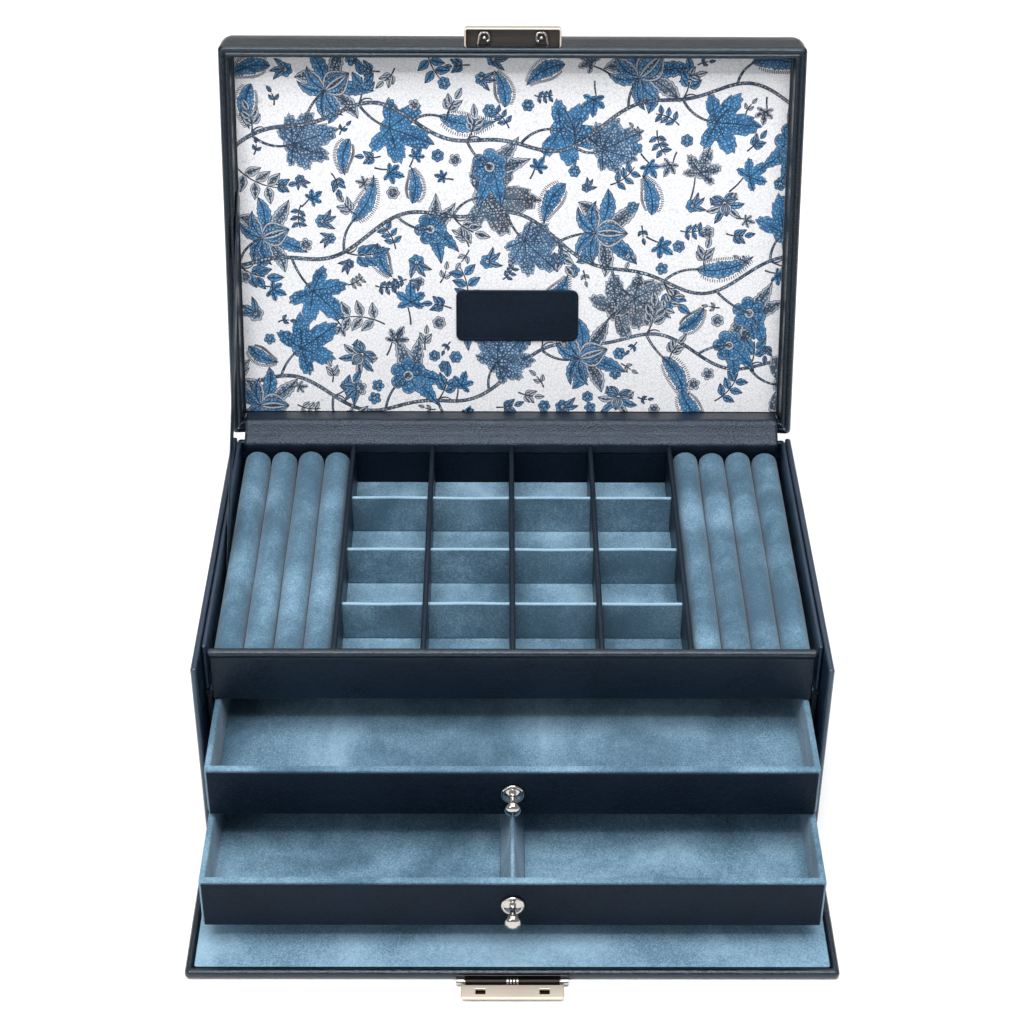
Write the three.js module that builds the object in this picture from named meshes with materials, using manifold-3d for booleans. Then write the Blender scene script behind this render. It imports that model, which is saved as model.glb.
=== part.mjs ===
// Jewellery case: leather-covered body with a fixed tray, two drawers, a drop front and a lid.
// Millimetres. +X right, +Y to the rear, +Z up. Origin: middle of the body's underside.
import * as THREE from 'three';
import { mergeVertices } from 'three/addons/utils/BufferGeometryUtils.js';
import Module from 'manifold-3d';

const wasm = await Module();
wasm.setup();

// Body
const caseWidth = 320;
const caseDepth = 209;
const wallHeight = 111;
const wallThickness = 3.3;
const jointGap = 0.3; // between pieces that are glued or laid together
const baseThickness = 6;
const cheekReach = 14.8; // how far the side walls pass the tray front

// Drawer bay
const runnerHeight = 12.7;
const runnerWidth = 14;
const bayLinerThickness = 3.8;
const shelfThickness = 1.7;
const slideGap = 0.4; // running clearance above and below a drawer
const sideSlideGap = 1.1; // running clearance beside a drawer
const railSetBack = 8;

// Tray
const trayFloorThickness = 2.9;
const suedeThickness = 1;
const trayLinerThickness = 2.4;
const frontPanelThickness = 3.4;
const panelSideGap = 4.2;
const lipHeight = 4;
const lipOverhang = 1.2;
const lipFlat = 0.1; // left flat at the middle of the lip's rounded edges
const rearWallDrop = 1.2;
const rearLinerDrop = 7.8;

// Tray fittings
const columnPitch = 45;
const columnCount = 4;
const dividerThickness = 3;
const dividerDrop = 1.3; // below the top of the walls
const rowPositions = [59.5, 107, 155]; // cross strips, from the front of the walls
const stripThickness = 1.8;
const stripDrop = 2.6; // below the dividers' tops
const slotGap = 0.3;
const cutReach = 1; // how far a cutting block passes the face it opens
const rollCount = 4;
const rollTopDrop = 4.4;
const rollFrontGap = 1.2;
const rollRearGap = 1.6;

// Drawers
const drawerHeight = 28.4;
const drawerRearGap = 5.2; // behind a shut drawer
const drawerSideThickness = 3.1;
const drawerFrontThickness = 3.7;
const drawerFloorThickness = 3.1;
const upperDrawerOut = 53.9; // pulled out, measured from the tray front
const lowerDrawerOut = 99.4;
const facingThickness = 1.1;
const facingInset = 1.2;
const knobRise = 14.6; // knob centre above the drawer's underside
const rosetteRadius = 5.9;
const rosetteEdge = 1.2;
const rosetteThickness = 1.9;
const rosetteChamfer = 0.9;
const stemRadius = 1.9;
const stemStart = 2.2;
const knobRadius = 4.2;
const knobLength = 14;
const knobOutline = [[0.5, 4], [0, 3], [0.4, 1.5], [1.7, 0.4]]; // inside its radius, short of its end
const knobNeck = 4.6;
const splitThickness = 2;
const splitFoot = 13;
const splitFootRise = 4;
const splitFlare = 0.8;
const splitDrop = 0.6;

// Drop front
const flapSideGap = 0.4;
const flapTopGap = 3.7; // below the wall tops when it is shut
const flapThickness = 5;
const flapGap = 1;
const flapBorder = 4.2;
const flapPocket = 1.2;
const flapEdgeRadius = 1.6;
const flapLiningDrop = 0.1;

// Hasp on the drop front
const haspWidth = 49.8;
const haspLength = 10.4;
const haspThickness = 1.4;
const haspPinRadius = 0.8;
const haspPinGap = 0.2;
const haspBarrelRadius = 1.9;
const haspPinReach = 3; // pin centre ahead of the drop front's edge
const haspPinHeight = 2.4;
const haspLugWidth = 4;
const haspSlotWidth = 4.7;
const haspSlotHeight = 3.1;
const haspSlotSpacing = 31;
const haspEndGap = 1.6; // a lug starts this far inside the plate's end
const haspBackThickness = 0.6;
const haspPinInset = 1;
const haspTip = 0.9; // plate past its nominal length
const haspNeck = 1;
const haspBarrelDrop = 0.1; // barrel inside the lugs' outline

// Lid
const lidFrontReach = 7.39; // rim ahead of the walls when it is shut
const lidDepth = 27;
const lidWall = 6.3;
const lidHingeWall = 5;
const lidCornerRadius = 5;
const lidLean = 17.15; // degrees past upright
const lidRearReach = 0.36; // rim behind the rear wall
const lidHingeRise = 3.76; // rim above the side walls
const liningDepth = 18.6; // lining below the rim
const liningThickness = 1.6;
const lidPanelThickness = 4;
const lidTopThickness = 6.5;
const badgeWidth = 69.6;
const badgeLength = 29.6;
const badgeThickness = 1.2;
const badgeCentre = [3.2, 63.6];
const badgeCornerRadius = 4;

// Catch on the lid
const catchSideGap = 0.7; // beside the hasp plate
const catchReach = 9.5;
const catchDepth = 12;
const catchWall = 1;
const hookWidth = 5.2;
const hookReach = 5.6;
const hookThickness = 2.6;
const hookSetBack = 2;
const catchRimDrop = 0.8; // hood's open side below the rim
const catchPlateDrop = 0.4;

// Soft pieces
const bandThickness = 1.2;
const bandSideGap = 1.8;
const bandEntry = 2; // depth in the lid where the band leaves the hinge wall
const bandCorner = 0.6;
const bandRimEdge = 0.8;
const bandRearInset = 0.4;
const bandRearRise = 1.6;
const bandWallInset = 0.6;
const bandWallRise = 1;
const bandTrayDrop = 0.6;
const strapThickness = 1;
const strapWidth = 10;
const strapSideGap = 0.4;
const strapFootRise = 6.9; // strap end above the tray suede
const strapFootDepth = 99;
const strapLidDistance = 134;
const strapLidDepth = 12;

const front = -caseDepth / 2;
const rear = caseDepth / 2;
const innerHalf = caseWidth / 2 - wallThickness;
const fitHalf = innerHalf - jointGap;
const trayFront = front + cheekReach;
const panelRear = trayFront + frontPanelThickness;
const linerFront = panelRear + jointGap;
const rearInside = rear - wallThickness - jointGap;
const runnerTop = baseThickness + jointGap + runnerHeight;
const lowerDrawerBase = runnerTop + slideGap;
const shelfBase = lowerDrawerBase + drawerHeight + slideGap;
const upperDrawerBase = shelfBase + shelfThickness + slideGap;
const trayFloorBase = upperDrawerBase + drawerHeight + slideGap + jointGap;
const suedeBase = trayFloorBase + trayFloorThickness + jointGap;
const suedeTop = suedeBase + suedeThickness;
const bayHalf = fitHalf - bayLinerThickness;
const drawerHalf = bayHalf - sideSlideGap;
const trayHalf = fitHalf - trayLinerThickness;
const trayRear = rearInside - trayLinerThickness;
const dividerHeight = wallHeight - dividerDrop - suedeTop - jointGap;
const outerDividerX = columnPitch * columnCount / 2;
const stripHeight = dividerHeight - stripDrop;
const faceBack = facingThickness + jointGap; // drawer box behind its facing
const drawerDepth = rearInside - drawerRearGap - trayFront - faceBack;
const knobReach = faceBack + jointGap;
const flapWidth = caseWidth - 2 * flapSideGap;
const flapLength = wallHeight - flapTopGap - flapThickness - jointGap - flapGap;
const lidLength = caseDepth + lidRearReach + lidFrontReach;
const catchWidth = haspWidth + 2 * (catchWall + catchSideGap);

const leather = material(0x141b2a, 0.5, 0);
const lining = material(0x1a2333, 0.6, 0);
const suede = material(0x648caa, 0.95, 0);
const printed = material(0xdfe5ea, 0.8, 0);
const nickel = material(0xc8beaf, 0.3, 1);
const chrome = material(0xd6d8da, 0.12, 1);
const badgeLeather = material(0x10172a, 0.55, 0);

function material(color, roughness, metalness) {
  return new THREE.MeshStandardMaterial({ color, roughness, metalness });
}

function node(name, geometry, surface) {
  const mesh = new THREE.Mesh(geometry, surface);
  mesh.name = name;
  return mesh;
}

// A board between two x, two y and two z values.
function box(x, y, z) {
  const geometry = new THREE.BoxGeometry(x[1] - x[0], y[1] - y[0], z[1] - z[0]);
  return geometry.translate((x[0] + x[1]) / 2, (y[0] + y[1]) / 2, (z[0] + z[1]) / 2);
}

function solid(geometry) {
  const plain = geometry.clone();
  plain.deleteAttribute('normal');
  plain.deleteAttribute('uv');
  const merged = mergeVertices(plain, 1e-4);
  const vertProperties = new Float32Array(merged.attributes.position.array);
  const triVerts = new Uint32Array(merged.index.array);
  return new wasm.Manifold(new wasm.Mesh({ numProp: 3, vertProperties, triVerts }));
}

function geometryOf(manifold) {
  const mesh = manifold.getMesh();
  const geometry = new THREE.BufferGeometry();
  geometry.setAttribute('position', new THREE.BufferAttribute(mesh.vertProperties, 3));
  geometry.setIndex(new THREE.BufferAttribute(mesh.triVerts, 1));
  geometry.computeVertexNormals();
  return geometry;
}

function cut(base, tools) {
  return geometryOf(tools.reduce((left, tool) => left.subtract(solid(tool)), solid(base)));
}

function join(parts) {
  return geometryOf(parts.map(solid).reduce((left, part) => left.add(part)));
}

// Extrudes a shape drawn in y and z along x.
function alongX(shape, x) {
  const geometry = new THREE.ExtrudeGeometry(shape, {
    depth: x[1] - x[0], bevelEnabled: false, curveSegments: 6,
  });
  const turn = new THREE.Matrix4().makeBasis(
    new THREE.Vector3(0, 1, 0), new THREE.Vector3(0, 0, 1), new THREE.Vector3(1, 0, 0));
  return geometry.applyMatrix4(turn).translate(x[0], 0, 0);
}

// Extrudes a shape drawn in x and z along y.
function alongY(shape, y) {
  const geometry = new THREE.ExtrudeGeometry(shape, {
    depth: y[1] - y[0], bevelEnabled: false, curveSegments: 10,
  });
  return geometry.rotateX(Math.PI / 2).translate(0, y[1], 0);
}

// A rectangle whose corners have their own radii, from the low corner counter-clockwise.
function roundedRectangle(a, b, radii) {
  const corners = [[a[0], a[1]], [b[0], a[1]], [b[0], b[1]], [a[0], b[1]]];
  const shape = new THREE.Shape();
  corners.forEach(([u, v], i) => {
    const r = radii[i];
    if (r === 0) {
      shape[i === 0 ? 'moveTo' : 'lineTo'](u, v);
      return;
    }
    const cu = u + (u === a[0] ? r : -r);
    const cv = v + (v === a[1] ? r : -r);
    shape.absarc(cu, cv, r, Math.PI + i * Math.PI / 2, Math.PI * 1.5 + i * Math.PI / 2, false);
  });
  return shape;
}

// A strip of even thickness that follows a line of points.
function ribbon(points, thickness) {
  const line = points.map(([u, v]) => new THREE.Vector2(u, v));
  const side = (sign) => line.map((point, i) => {
    const before = line[Math.max(i - 1, 0)];
    const after = line[Math.min(i + 1, line.length - 1)];
    const inward = point.clone().sub(before).normalize();
    const outward = after.clone().sub(point).normalize();
    const run = inward.add(outward).normalize();
    return point.clone().add(new THREE.Vector2(-run.y, run.x).multiplyScalar(sign * thickness / 2));
  });
  return new THREE.Shape([...side(1), ...side(-1).reverse()]);
}

function caseShell() {
  const group = new THREE.Group();
  const depth = [front, rear];
  const height = [0, wallHeight];
  const half = caseWidth / 2;
  group.add(node('side_wall_left', box([-half, -innerHalf], depth, height), leather));
  group.add(node('side_wall_right', box([innerHalf, half], depth, height), leather));
  group.add(node('rear_wall', box([-fitHalf, fitHalf], [rear - wallThickness, rear],
    [0, wallHeight - rearWallDrop]), leather));
  group.add(node('base_board', box([-fitHalf, fitHalf], [front, rearInside],
    [0, baseThickness]), leather));
  return group;
}

function drawerBay() {
  const group = new THREE.Group();
  const runner = [baseThickness + jointGap, runnerTop];
  const railRear = front + railSetBack + runnerWidth;
  const bayDepth = [linerFront, rearInside];
  const linerTop = trayFloorBase - jointGap;
  for (const [side, sign] of [['left', -1], ['right', 1]]) {
    const runnerX = [sign * bayHalf - sign * jointGap, sign * (bayHalf - jointGap - runnerWidth)];
    group.add(node(`drawer_runner_${side}`, box(runnerX.sort((a, b) => a - b),
      [railRear + jointGap, rearInside], runner), lining));
    const linerX = [sign * bayHalf, sign * fitHalf].sort((a, b) => a - b);
    group.add(node(`bay_liner_${side}`, box(linerX, bayDepth,
      [baseThickness + jointGap, linerTop]), lining));
  }
  group.add(node('plinth_rail', box([-bayHalf + jointGap, bayHalf - jointGap],
    [front + railSetBack, railRear], runner), leather));
  group.add(node('drawer_shelf', box([-bayHalf + jointGap, bayHalf - jointGap], bayDepth,
    [shelfBase, shelfBase + shelfThickness]), lining));
  return group;
}

function tray() {
  const group = new THREE.Group();
  const panelHalf = innerHalf - panelSideGap;
  const panelTop = wallHeight - lipHeight;
  group.add(node('tray_floor', box([-fitHalf, fitHalf], [linerFront, rearInside],
    [trayFloorBase, trayFloorBase + trayFloorThickness]), lining));
  group.add(node('tray_suede', box([-trayHalf + jointGap, trayHalf - jointGap],
    [linerFront, trayRear - jointGap], [suedeBase, suedeTop]), suede));
  group.add(node('tray_liner_left', box([-fitHalf, -trayHalf], [linerFront, rearInside],
    [suedeBase, wallHeight]), leather));
  group.add(node('tray_liner_right', box([trayHalf, fitHalf], [linerFront, rearInside],
    [suedeBase, wallHeight]), leather));
  group.add(node('tray_liner_rear', box([-trayHalf + jointGap, trayHalf - jointGap],
    [trayRear, rearInside], [suedeBase, wallHeight - rearLinerDrop]), leather));
  group.add(node('front_panel', box([-panelHalf, panelHalf], [trayFront, panelRear],
    [trayFloorBase, panelTop - jointGap]), leather));
  const lipDepth = frontPanelThickness + lipOverhang;
  const lipRadius = Math.min(lipHeight, lipDepth) / 2 - lipFlat;
  const lip = roundedRectangle([trayFront - lipOverhang, panelTop], [panelRear, wallHeight],
    [lipRadius, lipRadius, lipRadius, lipRadius]);
  const lipHalf = panelHalf + lipOverhang;
  group.add(node('front_lip', alongX(lip, [-lipHalf, lipHalf]), leather));
  return group;
}

// The long dividers stand over the cross strips, and the inner three are slotted for them.
function dividers() {
  const group = new THREE.Group();
  const z = [suedeTop + jointGap, suedeTop + jointGap + dividerHeight];
  const y = [linerFront + jointGap, trayRear - jointGap];
  const slotHalf = stripThickness / 2 + slotGap;
  for (let i = 0; i <= columnCount; i += 1) {
    const x = (i - columnCount / 2) * columnPitch;
    const across = [x - dividerThickness / 2, x + dividerThickness / 2];
    const slots = rowPositions.map((row) => box([across[0] - cutReach, across[1] + cutReach],
      [front + row - slotHalf, front + row + slotHalf],
      [z[0] - cutReach, z[0] + stripHeight + slotGap]));
    const inner = i > 0 && i < columnCount;
    const board = box(across, y, z);
    group.add(node(`long_divider_${i + 1}`, inner ? cut(board, slots) : board, leather));
  }
  const stripHalf = outerDividerX - dividerThickness / 2 - slotGap;
  rowPositions.forEach((row, i) => {
    const depth = [front + row - stripThickness / 2, front + row + stripThickness / 2];
    group.add(node(`cross_strip_${i + 1}`, box([-stripHalf, stripHalf], depth,
      [z[0], z[0] + stripHeight]), suede));
  });
  return group;
}

function ringRolls() {
  const group = new THREE.Group();
  const inside = outerDividerX + dividerThickness / 2 + jointGap;
  const outside = trayHalf - strapThickness - 2 * strapSideGap;
  const pitch = (outside - inside) / rollCount;
  const radius = (pitch - jointGap) / 2;
  const bottom = suedeTop + jointGap;
  const shoulder = wallHeight - rollTopDrop - radius;
  const y = [linerFront + rollFrontGap, trayRear - rollRearGap];
  for (const [side, sign] of [['left', -1], ['right', 1]]) {
    for (let i = 0; i < rollCount; i += 1) {
      const x = sign * (inside + pitch * (i + 0.5));
      const section = new THREE.Shape();
      section.moveTo(x - radius, bottom);
      section.lineTo(x + radius, bottom);
      section.absarc(x, shoulder, radius, 0, Math.PI, false);
      section.closePath();
      group.add(node(`ring_roll_${side}_${i + 1}`, alongY(section, y), suede));
    }
  }
  return group;
}

function knob() {
  const head = knobOutline.map(([inside, short]) => [knobRadius - inside, knobLength - short]);
  const outline = [
    [0, 0], [rosetteRadius, 0], [rosetteRadius, rosetteEdge],
    [rosetteRadius - rosetteChamfer, rosetteThickness],
    [stemRadius, stemStart], [stemRadius, knobLength - knobNeck],
    ...head, [0, knobLength],
  ].map(([r, h]) => new THREE.Vector2(r, h));
  return new THREE.LatheGeometry(outline, 28).rotateX(Math.PI);
}

function drawerBox(faceY, base) {
  const outer = box([-drawerHalf, drawerHalf], [faceY, faceY + drawerDepth],
    [base, base + drawerHeight]);
  const hollowX = drawerHalf - drawerSideThickness;
  const hollow = box([-hollowX, hollowX],
    [faceY + drawerFrontThickness, faceY + drawerDepth - drawerSideThickness],
    [base + drawerFloorThickness, base + drawerHeight + cutReach]);
  return cut(outer, [hollow]);
}

function drawer(name, out, base) {
  const group = new THREE.Group();
  const faceY = trayFront - out + faceBack;
  const facingHalf = drawerHalf - facingInset;
  group.add(node(`${name}_drawer_box`, drawerBox(faceY, base), suede));
  group.add(node(`${name}_drawer_facing`, box([-facingHalf, facingHalf],
    [faceY - faceBack, faceY - jointGap],
    [base + jointGap, base + drawerHeight - facingInset]), leather));
  const handle = node(`${name}_drawer_knob`, knob(), chrome);
  handle.position.set(0, faceY - knobReach, base + knobRise);
  group.add(handle);
  return group;
}

// The low wall that halves the lower drawer, with suede flared out at its foot.
function drawerSplit(out, base) {
  const faceY = trayFront - out + faceBack;
  const bottom = base + drawerFloorThickness + jointGap;
  const top = base + drawerHeight - splitDrop;
  const half = splitThickness / 2;
  const section = new THREE.Shape();
  section.moveTo(-splitFoot / 2, bottom);
  section.lineTo(splitFoot / 2, bottom);
  section.quadraticCurveTo(half + splitFlare, bottom + splitFootRise, half, top);
  section.lineTo(-half, top);
  section.quadraticCurveTo(-half - splitFlare, bottom + splitFootRise, -splitFoot / 2, bottom);
  const y = [faceY + drawerFrontThickness + jointGap,
    faceY + drawerDepth - drawerSideThickness - jointGap];
  return node('lower_drawer_split', alongY(section, y), suede);
}

function dropFront() {
  const group = new THREE.Group();
  const half = flapWidth / 2;
  const y = [front - flapGap - flapLength, front - flapGap];
  const section = roundedRectangle([y[0], 0], [y[1], flapThickness],
    [flapEdgeRadius, flapEdgeRadius, flapEdgeRadius, flapEdgeRadius]);
  const pocketHalf = half - flapBorder;
  const pocketY = [y[0] + flapBorder, y[1] - flapBorder];
  const pocket = box([-pocketHalf, pocketHalf], pocketY,
    [flapThickness - flapPocket, flapThickness + cutReach]);
  group.add(node('flap_board', cut(alongX(section, [-half, half]), [pocket]), leather));
  const liningHalf = pocketHalf - jointGap;
  group.add(node('flap_lining', box([-liningHalf, liningHalf],
    [pocketY[0] + jointGap, pocketY[1] - jointGap],
    [flapThickness - flapPocket + jointGap, flapThickness - flapLiningDrop]), suede));
  group.add(node('hasp_bracket', haspBracket(y[0]), nickel));
  return group;
}

function rod(radius, x, y, z, segments) {
  const geometry = new THREE.CylinderGeometry(radius, radius, x[1] - x[0], segments);
  return geometry.rotateZ(Math.PI / 2).translate((x[0] + x[1]) / 2, y, z);
}

// Back plate on the drop front's edge, with a lug at each end that holds the pin.
function haspBracket(edge) {
  const pinY = edge - haspPinReach;
  const half = haspWidth / 2 - haspEndGap;
  const outer = half + haspLugWidth;
  const lugFront = pinY - haspBarrelRadius;
  const lugZ = [haspPinHeight - haspBarrelRadius, haspPinHeight + haspBarrelRadius];
  const plate = box([-outer, outer], [edge - jointGap - haspBackThickness, edge - jointGap], lugZ);
  const lugs = [-1, 1].map((sign) => box([sign * half, sign * outer].sort((a, b) => a - b),
    [lugFront, edge - jointGap], lugZ));
  const pin = rod(haspPinRadius, [-outer + haspPinInset, outer - haspPinInset],
    pinY, haspPinHeight, 16);
  return join([plate, ...lugs, pin]);
}

function haspPlate() {
  const pinY = front - flapGap - flapLength - haspPinReach;
  const half = haspWidth / 2;
  const barrelHalf = half - haspEndGap - jointGap;
  const plateTop = haspPinHeight + haspThickness / 2;
  const shoulder = haspBarrelRadius * Math.SQRT2 + jointGap; // clears the bracket's lugs as it turns
  const plateY = [pinY - haspLength - haspTip, pinY - shoulder];
  const plate = box([-half, half], plateY, [plateTop - haspThickness, plateTop]);
  const neck = box([-barrelHalf, barrelHalf], [plateY[1] - haspNeck, pinY],
    [plateTop - haspThickness, plateTop]);
  const barrel = rod(haspBarrelRadius - haspBarrelDrop, [-barrelHalf, barrelHalf],
    pinY, haspPinHeight, 24);
  const bore = rod(haspPinRadius + haspPinGap, [-half, half], pinY, haspPinHeight, 16);
  const slotY = (plateY[0] + plateY[1]) / 2;
  const slots = [-1, 1].map((sign) => {
    const x = sign * haspSlotSpacing / 2;
    return box([x - haspSlotWidth / 2, x + haspSlotWidth / 2],
      [slotY - haspSlotHeight / 2, slotY + haspSlotHeight / 2], [0, haspPinHeight * 2]);
  });
  return node('hasp_plate', cut(join([plate, neck, barrel]), [bore, ...slots]), nickel);
}

// Lid pieces are drawn with y as depth behind the rim and z as distance from the hinge edge.
function lid() {
  const group = new THREE.Group();
  const half = caseWidth / 2;
  const wallDepth = [0, lidDepth];
  const r = lidCornerRadius;
  const left = roundedRectangle([-half, 0], [-half + lidWall, lidLength], [r, 0, 0, r]);
  const right = roundedRectangle([half - lidWall, 0], [half, lidLength], [0, r, r, 0]);
  group.add(node('lid_wall_left', alongY(left, wallDepth), leather));
  group.add(node('lid_wall_right', alongY(right, wallDepth), leather));
  const between = half - lidWall - jointGap;
  group.add(node('lid_wall_front', box([-between, between], wallDepth,
    [lidLength - lidWall, lidLength]), leather));
  group.add(node('lid_wall_hinge', box([-between, between], [2 * bandThickness, lidDepth],
    [0, lidHingeWall]), leather));
  const inner = [lidHingeWall + bandThickness + jointGap, lidLength - lidWall - jointGap];
  const liningRear = liningDepth + liningThickness;
  group.add(node('lid_lining', box([-between, between], [liningDepth, liningRear], inner), printed));
  group.add(node('lid_panel', box([-between, between],
    [lidDepth - lidPanelThickness, lidDepth], [lidHingeWall + jointGap, inner[1]]), lining));
  const top = roundedRectangle([-half, 0], [half, lidLength], [r, r, r, r]);
  group.add(node('lid_top', alongY(top, [lidDepth + jointGap, lidDepth + jointGap + lidTopThickness]),
    leather));
  const [badgeX, badgeZ] = badgeCentre;
  const badge = roundedRectangle([badgeX - badgeWidth / 2, badgeZ - badgeLength / 2],
    [badgeX + badgeWidth / 2, badgeZ + badgeLength / 2], Array(4).fill(badgeCornerRadius));
  group.add(node('lid_badge', alongY(badge,
    [liningDepth - jointGap - badgeThickness, liningDepth - jointGap]), badgeLeather));
  group.add(...catchPieces());
  group.rotation.x = -THREE.MathUtils.degToRad(lidLean);
  group.position.set(0, rear + lidRearReach, wallHeight + lidHingeRise);
  return group;
}

// Hood on the lid's front edge, open towards the rim, with two hooks on a plate inside it.
function catchPieces() {
  const half = catchWidth / 2;
  const base = lidLength + jointGap;
  const y = [catchRimDrop, catchRimDrop + catchDepth];
  const outer = box([-half, half], y, [base, base + catchReach]);
  const hollow = box([-half + catchWall, half - catchWall], [y[0] - cutReach, y[1] - catchWall],
    [base - cutReach, base + catchReach - catchWall]);
  const plateHalf = half - catchWall - jointGap;
  const plate = box([-plateHalf, plateHalf],
    [y[0] + catchPlateDrop, y[1] - catchWall - jointGap],
    [base, base + catchWall]);
  const hooks = [-1, 1].map((sign) => {
    const x = sign * haspSlotSpacing / 2;
    return box([x - hookWidth / 2, x + hookWidth / 2],
      [y[0] + hookSetBack, y[0] + hookSetBack + hookThickness],
      [base + catchWall / 2, base + catchWall + hookReach]);
  });
  return [
    node('catch_hood', cut(outer, [hollow]), nickel),
    node('catch_hooks', join([plate, ...hooks]), nickel),
  ];
}

// A point of the lid, given by its distance from the hinge edge and its depth behind the rim.
function onLid(distance, depth) {
  const lean = THREE.MathUtils.degToRad(lidLean);
  return [
    rear + lidRearReach + distance * Math.sin(lean) + depth * Math.cos(lean),
    wallHeight + lidHingeRise + distance * Math.cos(lean) - depth * Math.sin(lean),
  ];
}

// Leather strip that lines the lid's hinge wall, wraps its rim and ends on the tray's rear.
function hingeBand() {
  const line = lidHingeWall + bandThickness / 2 + jointGap;
  const linerMiddle = (trayRear + rearInside) / 2;
  const points = [
    onLid(line, liningDepth - jointGap),
    onLid(line, bandEntry),
    onLid(lidHingeWall - bandCorner, bandThickness),
    onLid(bandRimEdge, bandThickness),
    [rear - bandRearInset, wallHeight + bandRearRise],
    [rear - wallThickness + bandWallInset, wallHeight + bandWallRise],
    [linerMiddle, wallHeight - bandTrayDrop],
    [linerMiddle, wallHeight - rearLinerDrop + jointGap],
  ];
  const half = trayHalf - bandSideGap;
  return node('hinge_band', alongX(ribbon(points, bandThickness), [-half, half]), leather);
}

// Leather stay from the lid's left wall down beside the first ring roll.
function lidStay() {
  const points = [
    onLid(strapLidDistance, strapLidDepth),
    [front + strapFootDepth, suedeTop + strapFootRise],
  ];
  const outer = -(caseWidth / 2 - lidWall - strapSideGap);
  return node('lid_stay', alongX(ribbon(points, strapWidth), [outer, outer + strapThickness]), leather);
}

const jewelleryCase = new THREE.Group();
jewelleryCase.add(caseShell(), drawerBay(), tray(), dividers(), ringRolls());
jewelleryCase.add(drawer('upper', upperDrawerOut, upperDrawerBase));
jewelleryCase.add(drawer('lower', lowerDrawerOut, lowerDrawerBase));
jewelleryCase.add(drawerSplit(lowerDrawerOut, lowerDrawerBase));
jewelleryCase.add(dropFront(), haspPlate(), lid(), hingeBand(), lidStay());
jewelleryCase.updateMatrixWorld(true);

export default jewelleryCase;
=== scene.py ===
import math

import bpy
import numpy as np
from mathutils import Matrix, Vector


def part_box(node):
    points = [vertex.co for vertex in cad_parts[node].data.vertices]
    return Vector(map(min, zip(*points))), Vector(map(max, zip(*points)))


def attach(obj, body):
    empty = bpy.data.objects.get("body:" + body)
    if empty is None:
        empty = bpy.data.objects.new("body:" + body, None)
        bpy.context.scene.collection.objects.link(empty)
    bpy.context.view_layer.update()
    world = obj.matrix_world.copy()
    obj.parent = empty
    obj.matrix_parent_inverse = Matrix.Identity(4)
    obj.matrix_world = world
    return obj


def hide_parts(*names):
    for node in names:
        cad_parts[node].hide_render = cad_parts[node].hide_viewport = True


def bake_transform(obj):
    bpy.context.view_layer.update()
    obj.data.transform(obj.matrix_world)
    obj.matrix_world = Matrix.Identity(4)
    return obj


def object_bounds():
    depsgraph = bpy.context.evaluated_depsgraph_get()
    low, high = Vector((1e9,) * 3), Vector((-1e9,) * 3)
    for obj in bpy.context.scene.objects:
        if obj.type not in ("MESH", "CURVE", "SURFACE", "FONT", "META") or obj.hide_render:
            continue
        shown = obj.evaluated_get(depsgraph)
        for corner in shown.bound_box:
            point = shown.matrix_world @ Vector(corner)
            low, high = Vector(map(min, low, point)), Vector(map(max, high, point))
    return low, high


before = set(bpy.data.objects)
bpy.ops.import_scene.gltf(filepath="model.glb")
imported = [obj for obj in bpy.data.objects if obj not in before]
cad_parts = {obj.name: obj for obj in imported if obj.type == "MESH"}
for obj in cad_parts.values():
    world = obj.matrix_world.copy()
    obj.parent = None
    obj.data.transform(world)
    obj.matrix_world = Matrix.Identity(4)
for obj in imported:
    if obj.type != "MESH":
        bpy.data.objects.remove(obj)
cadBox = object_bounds()

mm = 0.001


# A mesh from points and faces; large flats keep their own normal beside small roundings.
def meshPiece(name, points, faces, uv=None, tone=None, weighted=True):
    mesh = bpy.data.meshes.new(name)
    mesh.from_pydata(np.asarray(points, float), [], [tuple(f) for f in faces])
    if uv is not None:
        loops = np.zeros(len(mesh.loops), dtype=np.int64)
        mesh.loops.foreach_get("vertex_index", loops)
        layer = mesh.uv_layers.new(name="UVMap")
        layer.data.foreach_set("uv", np.asarray(uv, float)[loops].ravel())
    if tone is not None:
        mesh.attributes.new("tone", "FLOAT", "POINT").data.foreach_set("value",
            np.asarray(tone, np.float32))
    mesh.shade_smooth()
    mesh.update()
    piece = bpy.data.objects.new(name, mesh)
    bpy.context.collection.objects.link(piece)
    if weighted:
        piece.modifiers.new("flats", "WEIGHTED_NORMAL").weight = 90
    return piece


# Quads of a grid of rows by columns; wrap joins the last column to the first.
def gridFaces(rows, columns, wrap=False, start=0):
    across = columns if wrap else columns - 1
    i, j = np.meshgrid(np.arange(rows - 1), np.arange(across), indexing="ij")
    k = (j + 1) % columns
    quads = np.stack([i * columns + j, i * columns + k, (i + 1) * columns + k, (i + 1) * columns + j], -1)
    return (quads.reshape(-1, 4) + start).tolist()


# A wrapped grid of quads with its first and last rows closed.
def tubeFaces(rows, columns):
    return (gridFaces(rows, columns, wrap=True) + [list(range(columns))[::-1],
        [(rows - 1) * columns + k for k in range(columns)]])


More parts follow.
